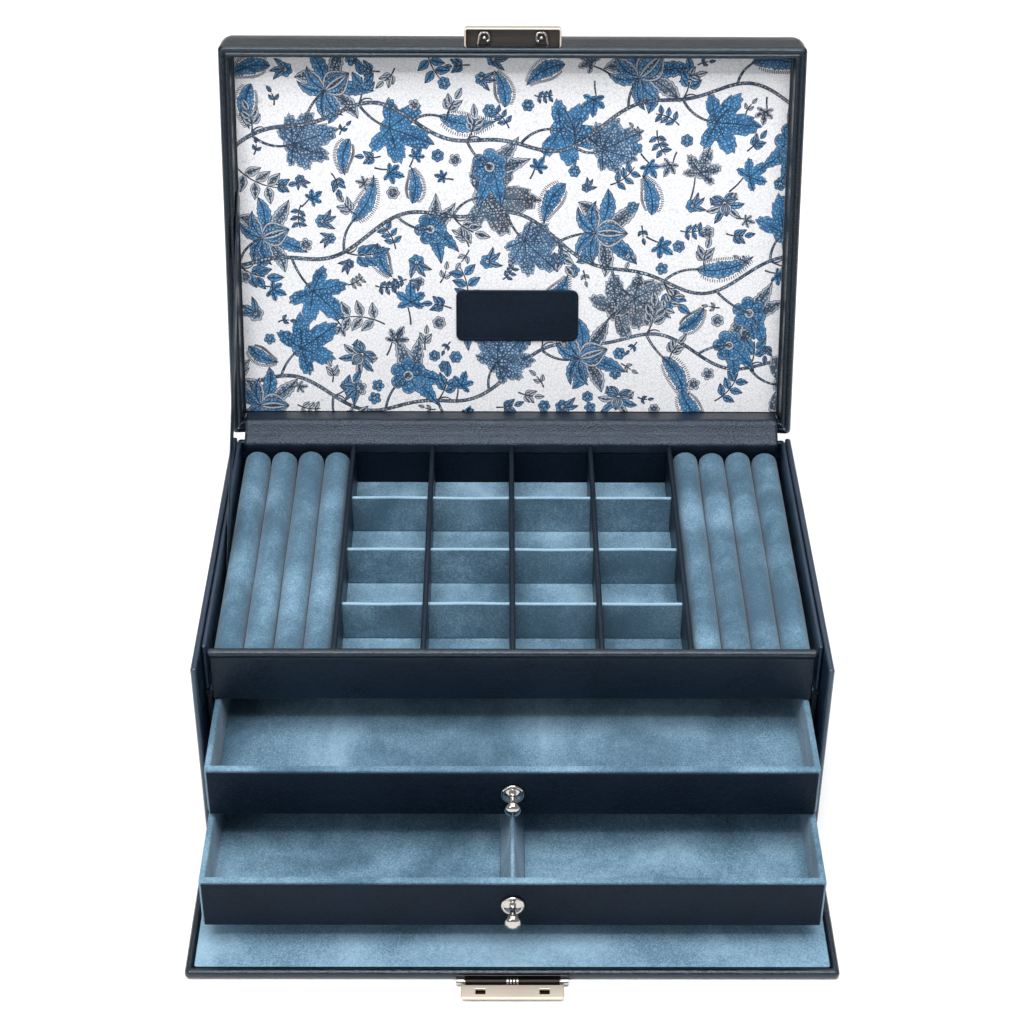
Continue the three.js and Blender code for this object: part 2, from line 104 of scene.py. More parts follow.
# Rounded rectangle: each corner is an arc of radius r about a centre r inside both sides.
# Returns points and outward normals, anticlockwise from the low corner; runs adds points on the straights.
def roundedLoop(half, radius, arc=5, runs=1):
    angle = np.linspace(0, math.pi / 2, arc + 1)
    points, normals = [], []
    for k in range(4):
        turn = math.pi + k * math.pi / 2
        centre = np.array([(-1, -1), (1, -1), (1, 1), (-1, 1)][k]) * (np.array(half) - radius)
        direction = np.stack([np.cos(turn + angle), np.sin(turn + angle)], -1)
        points.append(centre + radius * direction)
        normals.append(direction)
    if runs > 1:
        step = np.linspace(0, 1, runs + 1)[1:-1, None]
        for k in range(4):
            a, b = points[k][-1], points[(k + 1) % 4][0]
            points[k] = np.vstack([points[k], a + (b - a) * step])
            normals[k] = np.vstack([normals[k], np.repeat(normals[k][-1:], runs - 1, 0)])
    return np.vstack(points), np.vstack(normals)


# Board with every edge rounded: a rounded rectangle carried along one axis, and drawn in by
# r(1 - cos a) while it moves r(1 - sin a) from each end.
def roundedBoard(name, low, high, radius, axis=0, arc=4, warp=None):
    low, high = np.array(low, float), np.array(high, float)
    centre, half = (low + high) / 2, (high - low) / 2
    cross = [(1, 2), (2, 0), (0, 1)][axis]
    a = np.linspace(0, math.pi / 2, arc + 1)[::-1]
    inset = np.concatenate([radius * (1 - np.cos(a)), radius * (1 - np.cos(a[::-1]))]) * 0.97
    along = np.concatenate([-(half[axis] - radius + radius * np.sin(a)),
        half[axis] - radius + radius * np.sin(a[::-1])])
    loop, out = roundedLoop(half[list(cross)], radius, arc)
    rows, columns = len(along), len(loop)
    points = np.zeros((rows, columns, 3))
    points[..., cross[0]] = loop[:, 0] - out[:, 0] * inset[:, None]
    points[..., cross[1]] = loop[:, 1] - out[:, 1] * inset[:, None]
    points[..., axis] = along[:, None]
    points = points.reshape(-1, 3) + centre
    return meshPiece(name, warp(points) if warp else points, tubeFaces(rows, columns))


# Tray shape: a rounded rectangle drawn once for each row of the profile. A row gives in
# millimetres how far it stands in from the sides, front and rear, its corner radius and height.
def rimPiece(name, low, high, profile, arc=5, runs=1, warp=None):
    rows = []
    for side, nearFront, nearRear, radius, height in np.array(profile, float) * mm:
        a = np.array([low[0] + side, low[1] + nearFront])
        b = np.array([high[0] - side, high[1] - nearRear])
        loop, out = roundedLoop((b - a) / 2, radius, arc, runs)
        rows.append(np.column_stack([loop + (a + b) / 2, np.full(len(loop), height)]))
    points = np.vstack(rows)
    return meshPiece(name, warp(points) if warp else points, tubeFaces(len(rows), len(rows[0])))


# Profile that stands in by the same on every side; its corner shrinks by slope as it goes in.
def evenProfile(rows, corner, slope, least):
    return [(inset, inset, inset, max(corner - inset * slope, least), height) for inset, height in rows]


# A closed section in y and z carried along x, or in x and z carried along y, with its ends
# drawn towards the section's middle by end(1 - cos a).
def sectionPiece(name, section, span, axis=0, end=0.0003, steps=2, warp=None):
    section = np.array(section, float)
    a = np.linspace(0, math.pi / 2, 5)[::-1]
    middle = np.linspace(0, 1, steps + 1)[1:-1]
    along = np.concatenate([span[0] + end * (1 - np.sin(a)),
        span[0] + end + (span[1] - span[0] - 2 * end) * middle, span[1] - end * (1 - np.sin(a[::-1]))])
    inset = np.concatenate([end * (1 - np.cos(a)), middle * 0, end * (1 - np.cos(a[::-1]))]) * 0.96
    edge = np.roll(section, -1, 0) - np.roll(section, 1, 0)
    normal = np.column_stack([edge[:, 1], -edge[:, 0]])
    normal /= np.maximum(np.linalg.norm(normal, axis=1, keepdims=True), 1e-9)
    rows, columns = len(along), len(section)
    points = np.zeros((rows, columns, 3))
    cross = [(1, 2), (0, 2)][axis]
    points[..., cross[0]] = section[:, 0] - normal[:, 0] * inset[:, None]
    points[..., cross[1]] = section[:, 1] - normal[:, 1] * inset[:, None]
    points[..., axis] = along[:, None]
    points = points.reshape(-1, 3)
    faces = tubeFaces(rows, columns)
    if axis == 1:
        faces = [face[::-1] for face in faces]
    return meshPiece(name, warp(points) if warp else points, faces)


# Turned piece: radius and distance pairs carried round an axis that points towards -y.
def turnedPiece(name, profile, centre, sides=40):
    profile = np.array(profile, float) * mm
    angle = np.arange(sides) / sides * 2 * math.pi
    points = np.zeros((len(profile), sides, 3))
    points[..., 0] = centre[0] + profile[:, :1] * np.cos(angle)
    points[..., 1] = centre[1] - profile[:, 1:]
    points[..., 2] = centre[2] + profile[:, :1] * np.sin(angle)
    return meshPiece(name, points.reshape(-1, 3), tubeFaces(len(profile), sides), weighted=False)


# Closed slab between two grids of points, the first of them facing out.
def slabPiece(name, front, back):
    rows, columns = front.shape[:2]
    faces = gridFaces(rows, columns)
    faces += [[k + rows * columns for k in face[::-1]] for face in faces]
    i, j = np.arange(rows) * columns, np.arange(columns)
    ring = np.concatenate([j, i[1:] + columns - 1, i[-1] + j[-2::-1], i[-2:0:-1]])
    before = np.roll(ring, 1)
    faces += np.column_stack([ring, before, before + rows * columns, ring + rows * columns]).tolist()
    return meshPiece(name, np.vstack([front.reshape(-1, 3), back.reshape(-1, 3)]), faces, weighted=False)


# Points round a circle, or an arc of it, in y and z; the angle starts towards -y.
def ringPoints(y, z, radius, angle):
    return np.column_stack([y - radius * np.cos(angle), z + radius * np.sin(angle)])


# Unit vectors square to a line of points, on its left.
def leftOf(line):
    along = np.gradient(line, axis=0)
    along /= np.linalg.norm(along, axis=1, keepdims=True)
    return np.column_stack([-along[:, 1], along[:, 0]])


def towards(heading):
    return np.array([math.cos(heading), math.sin(heading)])


# Smooth line through points: Catmull-Rom, with so many steps on each span.
def smoothLine(points, steps=6):
    p = np.array(points, float)
    p = np.vstack([2 * p[0] - p[1], p, 2 * p[-1] - p[-2]])
    t = np.linspace(0, 1, steps, endpoint=False)[:, None]
    spans = [0.5 * (2 * b + (c - a) * t + (2 * a - 5 * b + 4 * c - d) * t ** 2 + (3 * b - a - 3 * c + d)
        * t ** 3) for a, b, c, d in zip(p[:-3], p[1:-2], p[2:-1], p[3:])]
    return np.vstack(spans + [p[-2:-1]])


# Plate of even thickness on a grid of x and y lines, left open at the cells listed. Its two near
# corners are drawn in by 0.3 of their cell, which makes them round.
def platePiece(name, xs, ys, zs, openings=(), edge=0.0003):
    xs, ys = np.array(xs), np.array(ys)
    nx, ny = len(xs), len(ys)
    x, y = np.meshgrid(xs, ys, indexing="ij")
    x[0, 0], x[-1, 0] = xs[0] + 0.3 * (xs[1] - xs[0]), xs[-1] - 0.3 * (xs[-1] - xs[-2])
    y[0, 0] = y[-1, 0] = ys[0] + 0.3 * (ys[1] - ys[0])
    layers = [np.column_stack([x.ravel(), y.ravel(), np.full(nx * ny, z)]) for z in zs]
    faces = []
    present = {(i, j) for i in range(nx - 1) for j in range(ny - 1)} - set(openings)
    for i, j in sorted(present):
        a, b, c, d = i * ny + j, (i + 1) * ny + j, (i + 1) * ny + j + 1, i * ny + j + 1
        faces += [(a, d, c, b), tuple(k + nx * ny for k in (a, b, c, d))]
        for (p, q), beside in (((a, b), (i, j - 1)), ((b, c), (i + 1, j)), ((c, d), (i, j + 1)),
                ((d, a), (i - 1, j))):
            if beside not in present:
                faces.append((p, q, q + nx * ny, p + nx * ny))
    piece = meshPiece(name, np.vstack(layers), faces, weighted=False)
    bevel = piece.modifiers.new("edges", "BEVEL")
    bevel.width, bevel.segments, bevel.limit_method = edge, 3, "ANGLE"
    piece.modifiers.new("flats", "WEIGHTED_NORMAL").weight = 90
    return piece


# One Math node with the value first, or second where it is reflected.
def mathNode(operation, reflected=False):
    def apply(self, other):
        pair = (other, self) if reflected else (self, other)
        return self.shade.put("ShaderNodeMath", {"operation": operation}, dict(enumerate(pair)))
    return apply


# A value in a shader; arithmetic on it adds Math nodes.
class Value:
    def __init__(self, shade, socket):
        self.shade = shade
        self.socket = socket

    __add__, __radd__ = mathNode("ADD"), mathNode("ADD", True)
    __sub__, __rsub__ = mathNode("SUBTRACT"), mathNode("SUBTRACT", True)
    __mul__, __rmul__ = mathNode("MULTIPLY"), mathNode("MULTIPLY", True)

    def above(self, edge, soft=0.01):
        return self.shade.ramp(self, edge - soft, edge + soft)

    def below(self, edge, soft=0.01):
        return self.shade.ramp(self, edge + soft, edge - soft)


class Shade:
    def __init__(self, name):
        self.material = bpy.data.materials.new(name)
        self.material.use_nodes = True
        self.tree = self.material.node_tree
        self.tree.nodes.clear()
        self.output = self.tree.nodes.new("ShaderNodeOutputMaterial")
        self.place = self.put("ShaderNodeTexCoord", {}, {}, "Object")

    # Adds one node: its settings first, then its sockets' values or links.
    def put(self, kind, settings, sockets, output=0):
        node = self.tree.nodes.new(kind)
        for key, value in settings.items():
            setattr(node, key, value)
        for key, value in sockets.items():
            if isinstance(value, Value):
                self.tree.links.new(value.socket, node.inputs[key])
            else:
                node.inputs[key].default_value = value
        return Value(self, node.outputs[output])

    def ramp(self, value, low, high):
        return self.put("ShaderNodeMapRange", {"interpolation_type": "SMOOTHSTEP"},
            {"Value": value, "From Min": low, "From Max": high, "To Min": 0.0, "To Max": 1.0})

    def mix(self, factor, first, second):
        return self.put("ShaderNodeMix", {"data_type": "RGBA"}, {0: factor, 6: first, 7: second}, 2)

    def stretched(self, scale, turn=(0, 0, 0)):
        return self.put("ShaderNodeMapping", {}, {"Vector": self.place, "Scale": scale, "Rotation": turn})

    def noise(self, scale, detail=2.0, rough=0.5, distortion=0.0, place=None):
        return self.put("ShaderNodeTexNoise", {}, {"Vector": place or self.place, "Scale": scale,
            "Detail": detail, "Roughness": rough, "Distortion": distortion}, "Fac")

    def cells(self, scale, feature="F1", place=None, output="Distance"):
        return self.put("ShaderNodeTexVoronoi", {"feature": feature},
            {"Vector": place or self.place, "Scale": scale}, output)

    def bump(self, height, strength, distance, normal=None):
        sockets = {"Height": height, "Strength": strength, "Distance": distance}
        if normal is not None:
            sockets["Normal"] = normal
        return self.put("ShaderNodeBump", {}, sockets)

    def finish(self, **sockets):
        named = {key.replace("_", " "): value for key, value in sockets.items()}
        shader = self.put("ShaderNodeBsdfPrincipled", {}, named)
        self.tree.links.new(shader.socket, self.output.inputs["Surface"])
        return self.material


def colour(red, green, blue):
    channel = np.array([red, green, blue]) / 255.0
    linear = np.where(channel <= 0.04045, channel / 12.92, ((channel + 0.055) / 1.055) ** 2.4)
    return (*[float(c) for c in linear], 1.0)


leatherLook = {"deep": (6, 13, 22), "worn": (11, 20, 31), "pebble": 1150, "roughness": 0.29}


def navyLeather(name, roughness=leatherLook["roughness"], ripple=0.25, shine=0.36, lift=1.0):
    shade = Shade(name)
    deep, worn = ([channel * lift for channel in leatherLook[key]] for key in ("deep", "worn"))
    clouds = shade.noise(38, 3)
    pebbles = shade.cells(leatherLook["pebble"], "SMOOTH_F1")
    pores = shade.noise(4200, 2, 0.6)
    creases = shade.cells(330, "DISTANCE_TO_EDGE", shade.stretched((1, 1, 0.8), (0.3, 0.2, 0.4)))
    tint = shade.mix(clouds.above(0.5, 0.25), colour(*deep), colour(*worn))
    tint = shade.mix((pebbles + pores * 0.5).above(0.8, 0.3) * 0.55, tint,
        colour(*[channel * 1.7 for channel in worn]))
    grain = pebbles * 0.7 + pores * 0.5 - creases.below(0.03, 0.03) * 0.25
    waves = shade.bump(shade.noise(46, 2), ripple, 0.0012)
    return shade.finish(Base_Color=tint, Roughness=clouds * 0.14 + pores * 0.16 + (roughness - 0.14),
        Specular_IOR_Level=shine, Specular_Tint=(0.72, 0.86, 1.0, 1.0),
        Normal=shade.bump(grain, 0.6, 0.0003, waves))


suedeLook = {"shadowed": (60, 87, 105), "plain": (99, 131, 152), "brushed": (138, 168, 187)}


# Nap brushed both ways: large clouds choose light or dark, long smears break their edges,
# and flecks of two sizes give the fibre. Above the crest a painted highlight lightens the nap
# where the folded edge catches the light.
def blueSuede(name, cloudScale=17, lift=0.0, crest=None):
    shade = Shade(name)
    smear = shade.noise(11, 2, place=shade.stretched((1.0, 1.9, 1.6), (0.1, 0.2, 0.5)))
    clouds = shade.noise(cloudScale, 3, 0.5, 0.7) * 0.8 + smear * 0.25
    strokes = shade.noise(150, 3, 0.6, 0.4, shade.stretched((1, 0.5, 0.8), (0, 0, 0.6)))
    fleck = shade.noise(1500, 3, 0.75)
    speck = shade.cells(1150, "F1", output="Color")
    nap = clouds + strokes * 0.16 - 0.08 + (fleck - 0.5) * 0.75 + (speck - 0.5) * 0.14 + lift
    if crest is not None:
        height = shade.put("ShaderNodeSeparateXYZ", {}, {"Vector": shade.place}, "Z")
        nap = nap + height.above(crest, 0.0002) * 0.42
    dark = shade.mix(nap.above(0.42, 0.2), colour(*suedeLook["shadowed"]), colour(*suedeLook["plain"]))
    tint = shade.mix(nap.above(0.64, 0.2), dark, colour(*suedeLook["brushed"]))
    fibre = shade.noise(900, 3, 0.7) * 0.7 + fleck * 0.6 + strokes * 0.6
    return shade.finish(Base_Color=tint, Roughness=0.9, Specular_IOR_Level=0.12, Sheen_Weight=0.2,
        Sheen_Roughness=0.45, Sheen_Tint=(0.75, 0.86, 0.95, 1.0), Normal=shade.bump(fibre, 0.55, 0.0004))


metalLook = {"nickel": (224, 212, 197), "nickelDark": (202, 190, 175), "chrome": (176, 172, 168)}


def brushedNickel(name, along=(30, 2400, 2400)):
    shade = Shade(name)
    lines = shade.noise(1.0, 3, 0.6, place=shade.stretched(along))
    tint = shade.mix(lines, colour(*metalLook["nickelDark"]), colour(*metalLook["nickel"]))
    return shade.finish(Base_Color=tint, Metallic=0.85, Roughness=lines * 0.14 + 0.42,
        Normal=shade.bump(lines, 0.12, 0.00008))


# Nickel in shade: the same brushing, darker by depth.
def darkNickel(name, depth=1.0):
    shade = Shade(name)
    lines = shade.noise(1.0, 3, 0.6, place=shade.stretched((30, 2400, 2400)))
    tint = shade.mix(lines, colour(54 * depth, 52 * depth, 50 * depth),
        colour(96 * depth, 92 * depth, 87 * depth))
    return shade.finish(Base_Color=tint, Metallic=1.0, Roughness=lines * 0.2 + 0.3,
        Normal=shade.bump(lines, 0.15, 0.0001))


def polishedChrome(name):
    shade = Shade(name)
    haze = shade.noise(700, 3)
    return shade.finish(Base_Color=colour(*metalLook["chrome"]), Metallic=1.0,
        Roughness=haze * 0.06 + 0.05, Normal=shade.bump(haze, 0.03, 0.0001))


def plainFloor(name):
    shade = Shade(name)
    return shade.finish(Base_Color=(0.93, 0.93, 0.93, 1.0), Roughness=0.75, Specular_IOR_Level=0.1)


# The lift gives lighter and darker copies of the one navy leather, painted light and painted shade: the
# side walls and tray liners are painted lighter (1.5), and the lid shell, front lip and flap border (0.6)
# and the rear liner (0.9) are painted darker.
leather = navyLeather("navyLeather")
softLeather = navyLeather("softLeather", 0.17, 0.5, 0.62, 0.6)
wallLeather = navyLeather("wallLeather", 0.3, 0.3, 0.85, 1.5)
facingLeather = navyLeather("facingLeather", 0.3, 0.2, 0.1)
dividerLeather = navyLeather("dividerLeather", 0.34, 0.2, 0.28)
linerLeather = navyLeather("linerLeather", 0.36, 0.2, 0.12, 0.9)
# The lift gives lit and shaded copies of the one suede: painted shade darkens the drawers (-0.07), the
# ring rolls (-0.12) and the cross strips (-0.14), and painted light brightens the drop front (+0.06).
suede = blueSuede("blueSuede", 17, -0.07)
traySuede = blueSuede("traySuede", 17, 0.0)
rollSuede = blueSuede("rollSuede", 21, -0.12)
stripSuede = blueSuede("stripSuede", 20, -0.14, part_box("cross_strip_1")[1][2] - 0.0009)
flapSuede = blueSuede("flapSuede", 17, 0.06)
nickel = brushedNickel("brushedNickel")
chrome = polishedChrome("polishedChrome")
print("materials made")


# Gives a piece its material and body, and hides the nodes that it stands for.
def place(piece, material, body, slot, *nodes):
    piece.data.materials.append(material)
    if body is not None:
        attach(piece, body)
    if nodes:
        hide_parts(*nodes)
    return piece


def placeMetal(piece, material, body, *nodes):
    return place(piece, material, body, "brushed_nickel", *nodes)


def dress(nodes, material):
    for node in nodes:
        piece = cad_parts[node]
        piece.data.materials.clear()
        piece.data.materials.append(material)


cameraPlace = {"position": (-0.0069, -0.9472, 0.8075), "pitch": 35.46, "turn": -0.41, "roll": 0.35,
    "lens": 77.36}


def addCamera():
    camera = bpy.data.objects.new("camera", bpy.data.cameras.new("camera"))
    bpy.context.collection.objects.link(camera)
    camera.data.lens = cameraPlace["lens"]
    camera.data.sensor_width = 36
    camera.data.clip_end = 20
    camera.location = cameraPlace["position"]
    turn, pitch, roll = (math.radians(cameraPlace[key]) for key in ("turn", "pitch", "roll"))
    camera.rotation_mode = "QUATERNION"
    turned = Matrix.Rotation(turn, 3, "Z") @ Matrix.Rotation(math.pi / 2 - pitch, 3, "X")
    camera.rotation_quaternion = (turned @ Matrix.Rotation(roll, 3, "Z")).to_quaternion()
    bpy.context.scene.camera = camera


studio = {"ambient": 0.42, "overhead": 60.0, "front": 8.0, "strip": 9.0, "rear": 22.0}


def addStudio():
    floor = meshPiece("floor", [(-6, -6, 0), (6, -6, 0), (6, 6, 0), (-6, 6, 0)], [(0, 1, 2, 3)])
    floor.data.materials.append(plainFloor("plainFloor"))
    floor.location.z = cadBox[0][2] - 0.0004
    world = bpy.data.worlds.new("world")
    world.use_nodes = True
    world.node_tree.nodes["Background"].inputs["Color"].default_value = (0.97, 0.98, 1.0, 1.0)
    world.node_tree.nodes["Background"].inputs["Strength"].default_value = studio["ambient"]
    bpy.context.scene.world = world
    for name, position, size, power in (("overhead", (0.0, -0.75, 2.2), (1.7, 1.5), studio["overhead"]),
            ("front", (-1.0, -1.6, 1.2), (0.8, 0.8), studio["front"]),
            ("strip", (0.0, -1.1, 1.7), (1.8, 0.07), studio["strip"]),
            ("rear", (0.0, 1.3, 2.3), (2.4, 0.8), studio["rear"])):
        light = bpy.data.objects.new(name, bpy.data.lights.new(name, "AREA"))
        light.data.shape = "RECTANGLE"
        light.data.size, light.data.size_y = size
        light.data.energy = power
        light.location = position
        aim = np.array([0, 0, 0.1]) - np.array(position)
        light.rotation_mode = "QUATERNION"
        light.rotation_quaternion = Vector(aim).to_track_quat("-Z", "Y")
        bpy.context.collection.objects.link(light)
    bpy.context.scene.view_settings.view_transform = "Standard"


addCamera()
addStudio()
print("camera, floor and lights made")


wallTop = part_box("side_wall_left")[1][2]
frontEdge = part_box("side_wall_left")[0][1]
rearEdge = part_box("side_wall_left")[1][1]
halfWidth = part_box("side_wall_right")[1][0]

boards = {"wall": 1.3, "liner": 1.0, "facing": 0.5, "divider": 1.3, "base": 1.0, "lip": 1.9}


def leatherBoard(node, radius, axis=0, body="case", material=leather, slot="navy_leather"):
    piece = roundedBoard(node + "_cover", *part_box(node), radius * mm, axis)
    return place(piece, material, body, slot, node)


# Strip across the tray: it bows a little between the dividers, by bow sin(pi u)^2 h over each
# cell at height h, turned about from cell to cell.
def stripPiece(node):
    low, high = (np.array(corner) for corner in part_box(node))
    section = roundedLoop((high - low)[1:] / 2, 0.85 * mm, 4)[0] + (low + high)[1:] / 2
    first = (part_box("long_divider_1")[0][0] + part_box("long_divider_1")[1][0]) / 2
    pitch = ((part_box("long_divider_5")[0][0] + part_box("long_divider_5")[1][0]) / 2 - first) / 4
    phase = low[1] * 300

    def bow(points):
        u = (points[:, 0] - first) / pitch
        lift = np.clip((points[:, 2] - low[2]) / (high[2] - low[2]), 0, 1)
        points[:, 1] += 0.45 * mm * np.sin(math.pi * u) ** 2 * np.sin(np.floor(u) * 2.3 + phase) * lift
        return points

    return sectionPiece(node + "_cover", section, (low[0], high[0]), 0, 0.3 * mm, 64, bow)


def buildBody():
    for side in ("left", "right"):
        leatherBoard("side_wall_" + side, boards["wall"], 1, material=wallLeather)
        leatherBoard("tray_liner_" + side, boards["liner"], 1, material=wallLeather)
        leatherBoard("bay_liner_" + side, boards["liner"], 1, slot="navy_liner")
    leatherBoard("rear_wall", boards["wall"])
    leatherBoard("base_board", boards["base"])
    leatherBoard("plinth_rail", boards["base"])
    leatherBoard("front_panel", boards["base"])
    leatherBoard("front_lip", boards["lip"], material=softLeather)
    for i in range(1, 6):
        leatherBoard(f"long_divider_{i}", boards["divider"], 1, material=dividerLeather)
    dress(["tray_liner_rear"], linerLeather)
    dress(["drawer_runner_left", "drawer_runner_right", "drawer_shelf", "tray_floor"], leather)
    for i in range(1, 4):
        place(stripPiece(f"cross_strip_{i}"), stripSuede, "case", "blue_suede", f"cross_strip_{i}")


# Lines of a grid: close together beside each edge given, and even between.
def gridLines(low, high, edges, near=(0, 0.5, 1.0, 1.7, 2.8)):
    lines = [edge + sign * step * mm for edge in edges for sign in (-1, 1) for step in near]
    lines = np.array(lines + np.linspace(low, high, 40).tolist())
    return np.unique(np.round(lines[(lines >= low) & (lines <= high)], 5))


# Floor of the tray: suede that turns up where it meets a divider or a strip; its height is
# rise exp(-(d/1.1)^2) at a distance of d millimetres from the nearest of them.
def buildTrayFloor():
    low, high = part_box("tray_suede")
    columns = [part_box(f"long_divider_{i}") for i in range(1, 6)]
    rows = [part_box(f"cross_strip_{i}") for i in range(1, 4)]
    xEdges = np.array([corner[0] for box in columns for corner in box] + [low[0], high[0]])
    yEdges = np.array([corner[1] for box in rows for corner in box] + [low[1], high[1]])
    x, y = np.meshgrid(gridLines(low[0], high[0], xEdges), gridLines(low[1], high[1], yEdges),
        indexing="ij")
    across = np.min(np.abs(x[..., None] - xEdges), -1)
    along = np.min(np.abs(y[..., None] - yEdges), -1)
    inCells = (x > columns[0][0][0]) & (x < columns[-1][1][0])
    turnUp = np.exp(-(np.where(inCells, np.minimum(across, along), 0.01) / (1.1 * mm)) ** 2)
    soft = np.sin(x * 210 + 1) * np.sin(y * 190) * 0.08
    top = np.stack([x, y, high[2] + (turnUp * 0.55 + soft - 0.2) * mm], -1)
    floor = slabPiece("tray_suede_cover", top.transpose(1, 0, 2),
        np.stack([x, y, 0 * x + low[2]], -1).transpose(1, 0, 2))
    place(floor, traySuede, "case", "blue_suede", "tray_suede")


buildBody()
buildTrayFloor()
print("body made")


rolls = {"end": 1.7, "swell": 0.12, "arc": 18, "slim": 0.2, "cap": 0.5, "bed": 0.4, "frames": 20,
    "pressure": 4}


# Roll: straight sides and a round top.
def rollSection(low, high):
    radius = (high[0] - low[0]) / 2
    x = (low[0] + high[0]) / 2
    angle = np.linspace(0, math.pi, rolls["arc"])
    top = np.column_stack([x + radius * np.cos(angle), high[2] - radius + radius * np.sin(angle)])
    side = np.linspace(low[2] + 0.6 * mm, high[2] - radius, 5)[:-1]
    foot = np.linspace(x - radius + 0.6 * mm, x + radius - 0.6 * mm, 6)
    return np.vstack([np.column_stack([np.full(4, x + radius), side]), top,
        np.column_stack([np.full(4, x - radius), side[::-1]]),
        np.column_stack([foot, np.full(6, low[2])])])


# Stuffing: a roll starts slim, is held where it stands in its bed, and is filled by cloth pressure.
# No point moves further than the cap, so that neighbours just touch.
def stuffRolls(pieces):
    for piece, low, high in pieces:
        spots = np.empty(len(piece.data.vertices) * 3)
        piece.data.vertices.foreach_get("co", spots)
        bed = piece.vertex_groups.new(name="bed")
        bed.add(np.nonzero(spots[2::3] < low[2] + rolls["bed"] * (high[2] - low[2]))[0].tolist(), 1.0,
            "REPLACE")
        cloth = piece.modifiers.new("stuffing", "CLOTH")
        cloth.point_cache.frame_start, cloth.point_cache.frame_end = 1, rolls["frames"]
        settings = cloth.settings
        settings.quality, settings.mass, settings.vertex_group_mass = 6, 0.15, "bed"
        settings.tension_stiffness, settings.compression_stiffness = 14, 14
        settings.shear_stiffness, settings.bending_stiffness = 6, 0.4
        settings.use_pressure, settings.uniform_pressure_force = True, rolls["pressure"]
        settings.effector_weights.gravity = 0
    for step in range(1, rolls["frames"] + 1):
        bpy.context.scene.frame_set(step)
    graph = bpy.context.evaluated_depsgraph_get()
    filled = []
    for piece, low, high in pieces:
        flat = np.empty(len(piece.data.vertices) * 3)
        piece.data.vertices.foreach_get("co", flat)
        moved = np.empty_like(flat)
        piece.evaluated_get(graph).data.vertices.foreach_get("co", moved)
        step = (moved - flat).reshape(-1, 3)
        length = np.maximum(np.linalg.norm(step, axis=1, keepdims=True), 1e-9)
        filled.append((piece, (flat.reshape(-1, 3) + step
            * np.minimum(1, rolls["cap"] * mm / length)).ravel()))
        print(piece.name, "grew by", round(float(length.max() / mm), 2))
    for piece, points in filled:
        piece.modifiers.clear()
        piece.vertex_groups.clear()
        piece.data.vertices.foreach_set("co", points)
        piece.data.update()
    bpy.context.scene.frame_set(1)


def buildRolls():
    pieces = []
    for side in ("left", "right"):
        for i in range(1, 5):
            low, high = (np.array(corner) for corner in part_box(f"ring_roll_{side}_{i}"))
            phase = i * 2.1 + (side == "right")
            slim = np.array([rolls["slim"] * mm, 0, 0])

            def swell(points, low=low, high=high, phase=phase):
                along = points[:, 1] * 42 + phase
                lift = np.clip((points[:, 2] - low[2]) / (high[2] - low[2]), 0, 1)
                points[:, 0] += lift * rolls["swell"] * mm * np.sin(along)
                points[:, 2] += lift * rolls["swell"] * 2.5 * mm * np.sin(along * 1.7 + 1)
                return points

            section = rollSection(low + slim, high - slim)
            piece = sectionPiece(f"ring_roll_{side}_{i}_cover", section, (low[1], high[1]), 1,
                rolls["end"] * mm, 60, swell)
            piece.modifiers.clear()
            pieces.append((piece, low, high))
    stuffRolls(pieces)
    for piece, low, high in pieces:
        smooth = piece.modifiers.new("smooth", "SUBSURF")
        smooth.levels = smooth.render_levels = 1
        place(piece, rollSuede, "case", "blue_suede", piece.name.replace("_cover", ""))


buildRolls()
print("ring rolls made")


drawers = {"side": 3.1, "front": 3.7, "floor": 3.1}


# Box: up the outside, over a rounded rim and down the inside to a floor that rises a little.
def drawerPiece(name, low, high):
    side, front, floor = drawers["side"], drawers["front"], drawers["floor"]
    top, base = high[2] / mm, low[2] / mm
    outer = [(1.2, 1.2, 1.2, 1.0, base), (0.3, 0.3, 0.3, 1.2, base + 0.3), (0, 0, 0, 1.4, base + 1.2),
        (0, 0, 0, 1.4, top - 1.1), (0.1, 0.1, 0.1, 1.4, top - 0.6), (0.45, 0.45, 0.45, 1.2, top - 0.15),
        (0.9, 0.9, 0.9, 1.0, top)]
    inner = [(side - 0.9, front - 0.9, side - 0.9, 0.6, top),
        (side - 0.45, front - 0.45, side - 0.45, 0.6, top - 0.15),
        (side - 0.1, front - 0.1, side - 0.1, 0.7, top - 0.6), (side, front, side, 0.8, top - 1.1),
        (side, front, side, 0.8, base + floor + 1.4),
        (side + 0.4, front + 0.4, side + 0.4, 0.9, base + floor + 0.4),
        (side + 1.5, front + 1.5, side + 1.5, 1.2, base + floor),
        (side + 8, front + 8, side + 8, 3, base + floor),
        (side + 30, front + 30, side + 30, 12, base + floor + 0.5),
        (side + 60, front + 60, side + 60, 12, base + floor + 0.6)]
    return rimPiece(name, low, high, outer + inner)


def knobPiece(name, node):
    low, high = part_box(node)
    profile = [(0.3, 0), (5.6, 0), (5.9, 0.3), (5.9, 0.9), (5.5, 1.3), (4.9, 1.5), (4.5, 1.35),
        (4.1, 1.4), (3.2, 2.0), (2.3, 2.3), (1.8, 2.8), (1.6, 4.0), (1.6, 8.2), (1.9, 9.0), (2.9, 9.4),
        (3.7, 10.0), (4.15, 10.9), (4.2, 11.6), (3.95, 12.4), (3.3, 13.2), (2.3, 13.7), (1.2, 13.95),
        (0.3, 14.0)]
    return turnedPiece(name, profile, ((low[0] + high[0]) / 2, high[1], (low[2] + high[2]) / 2))


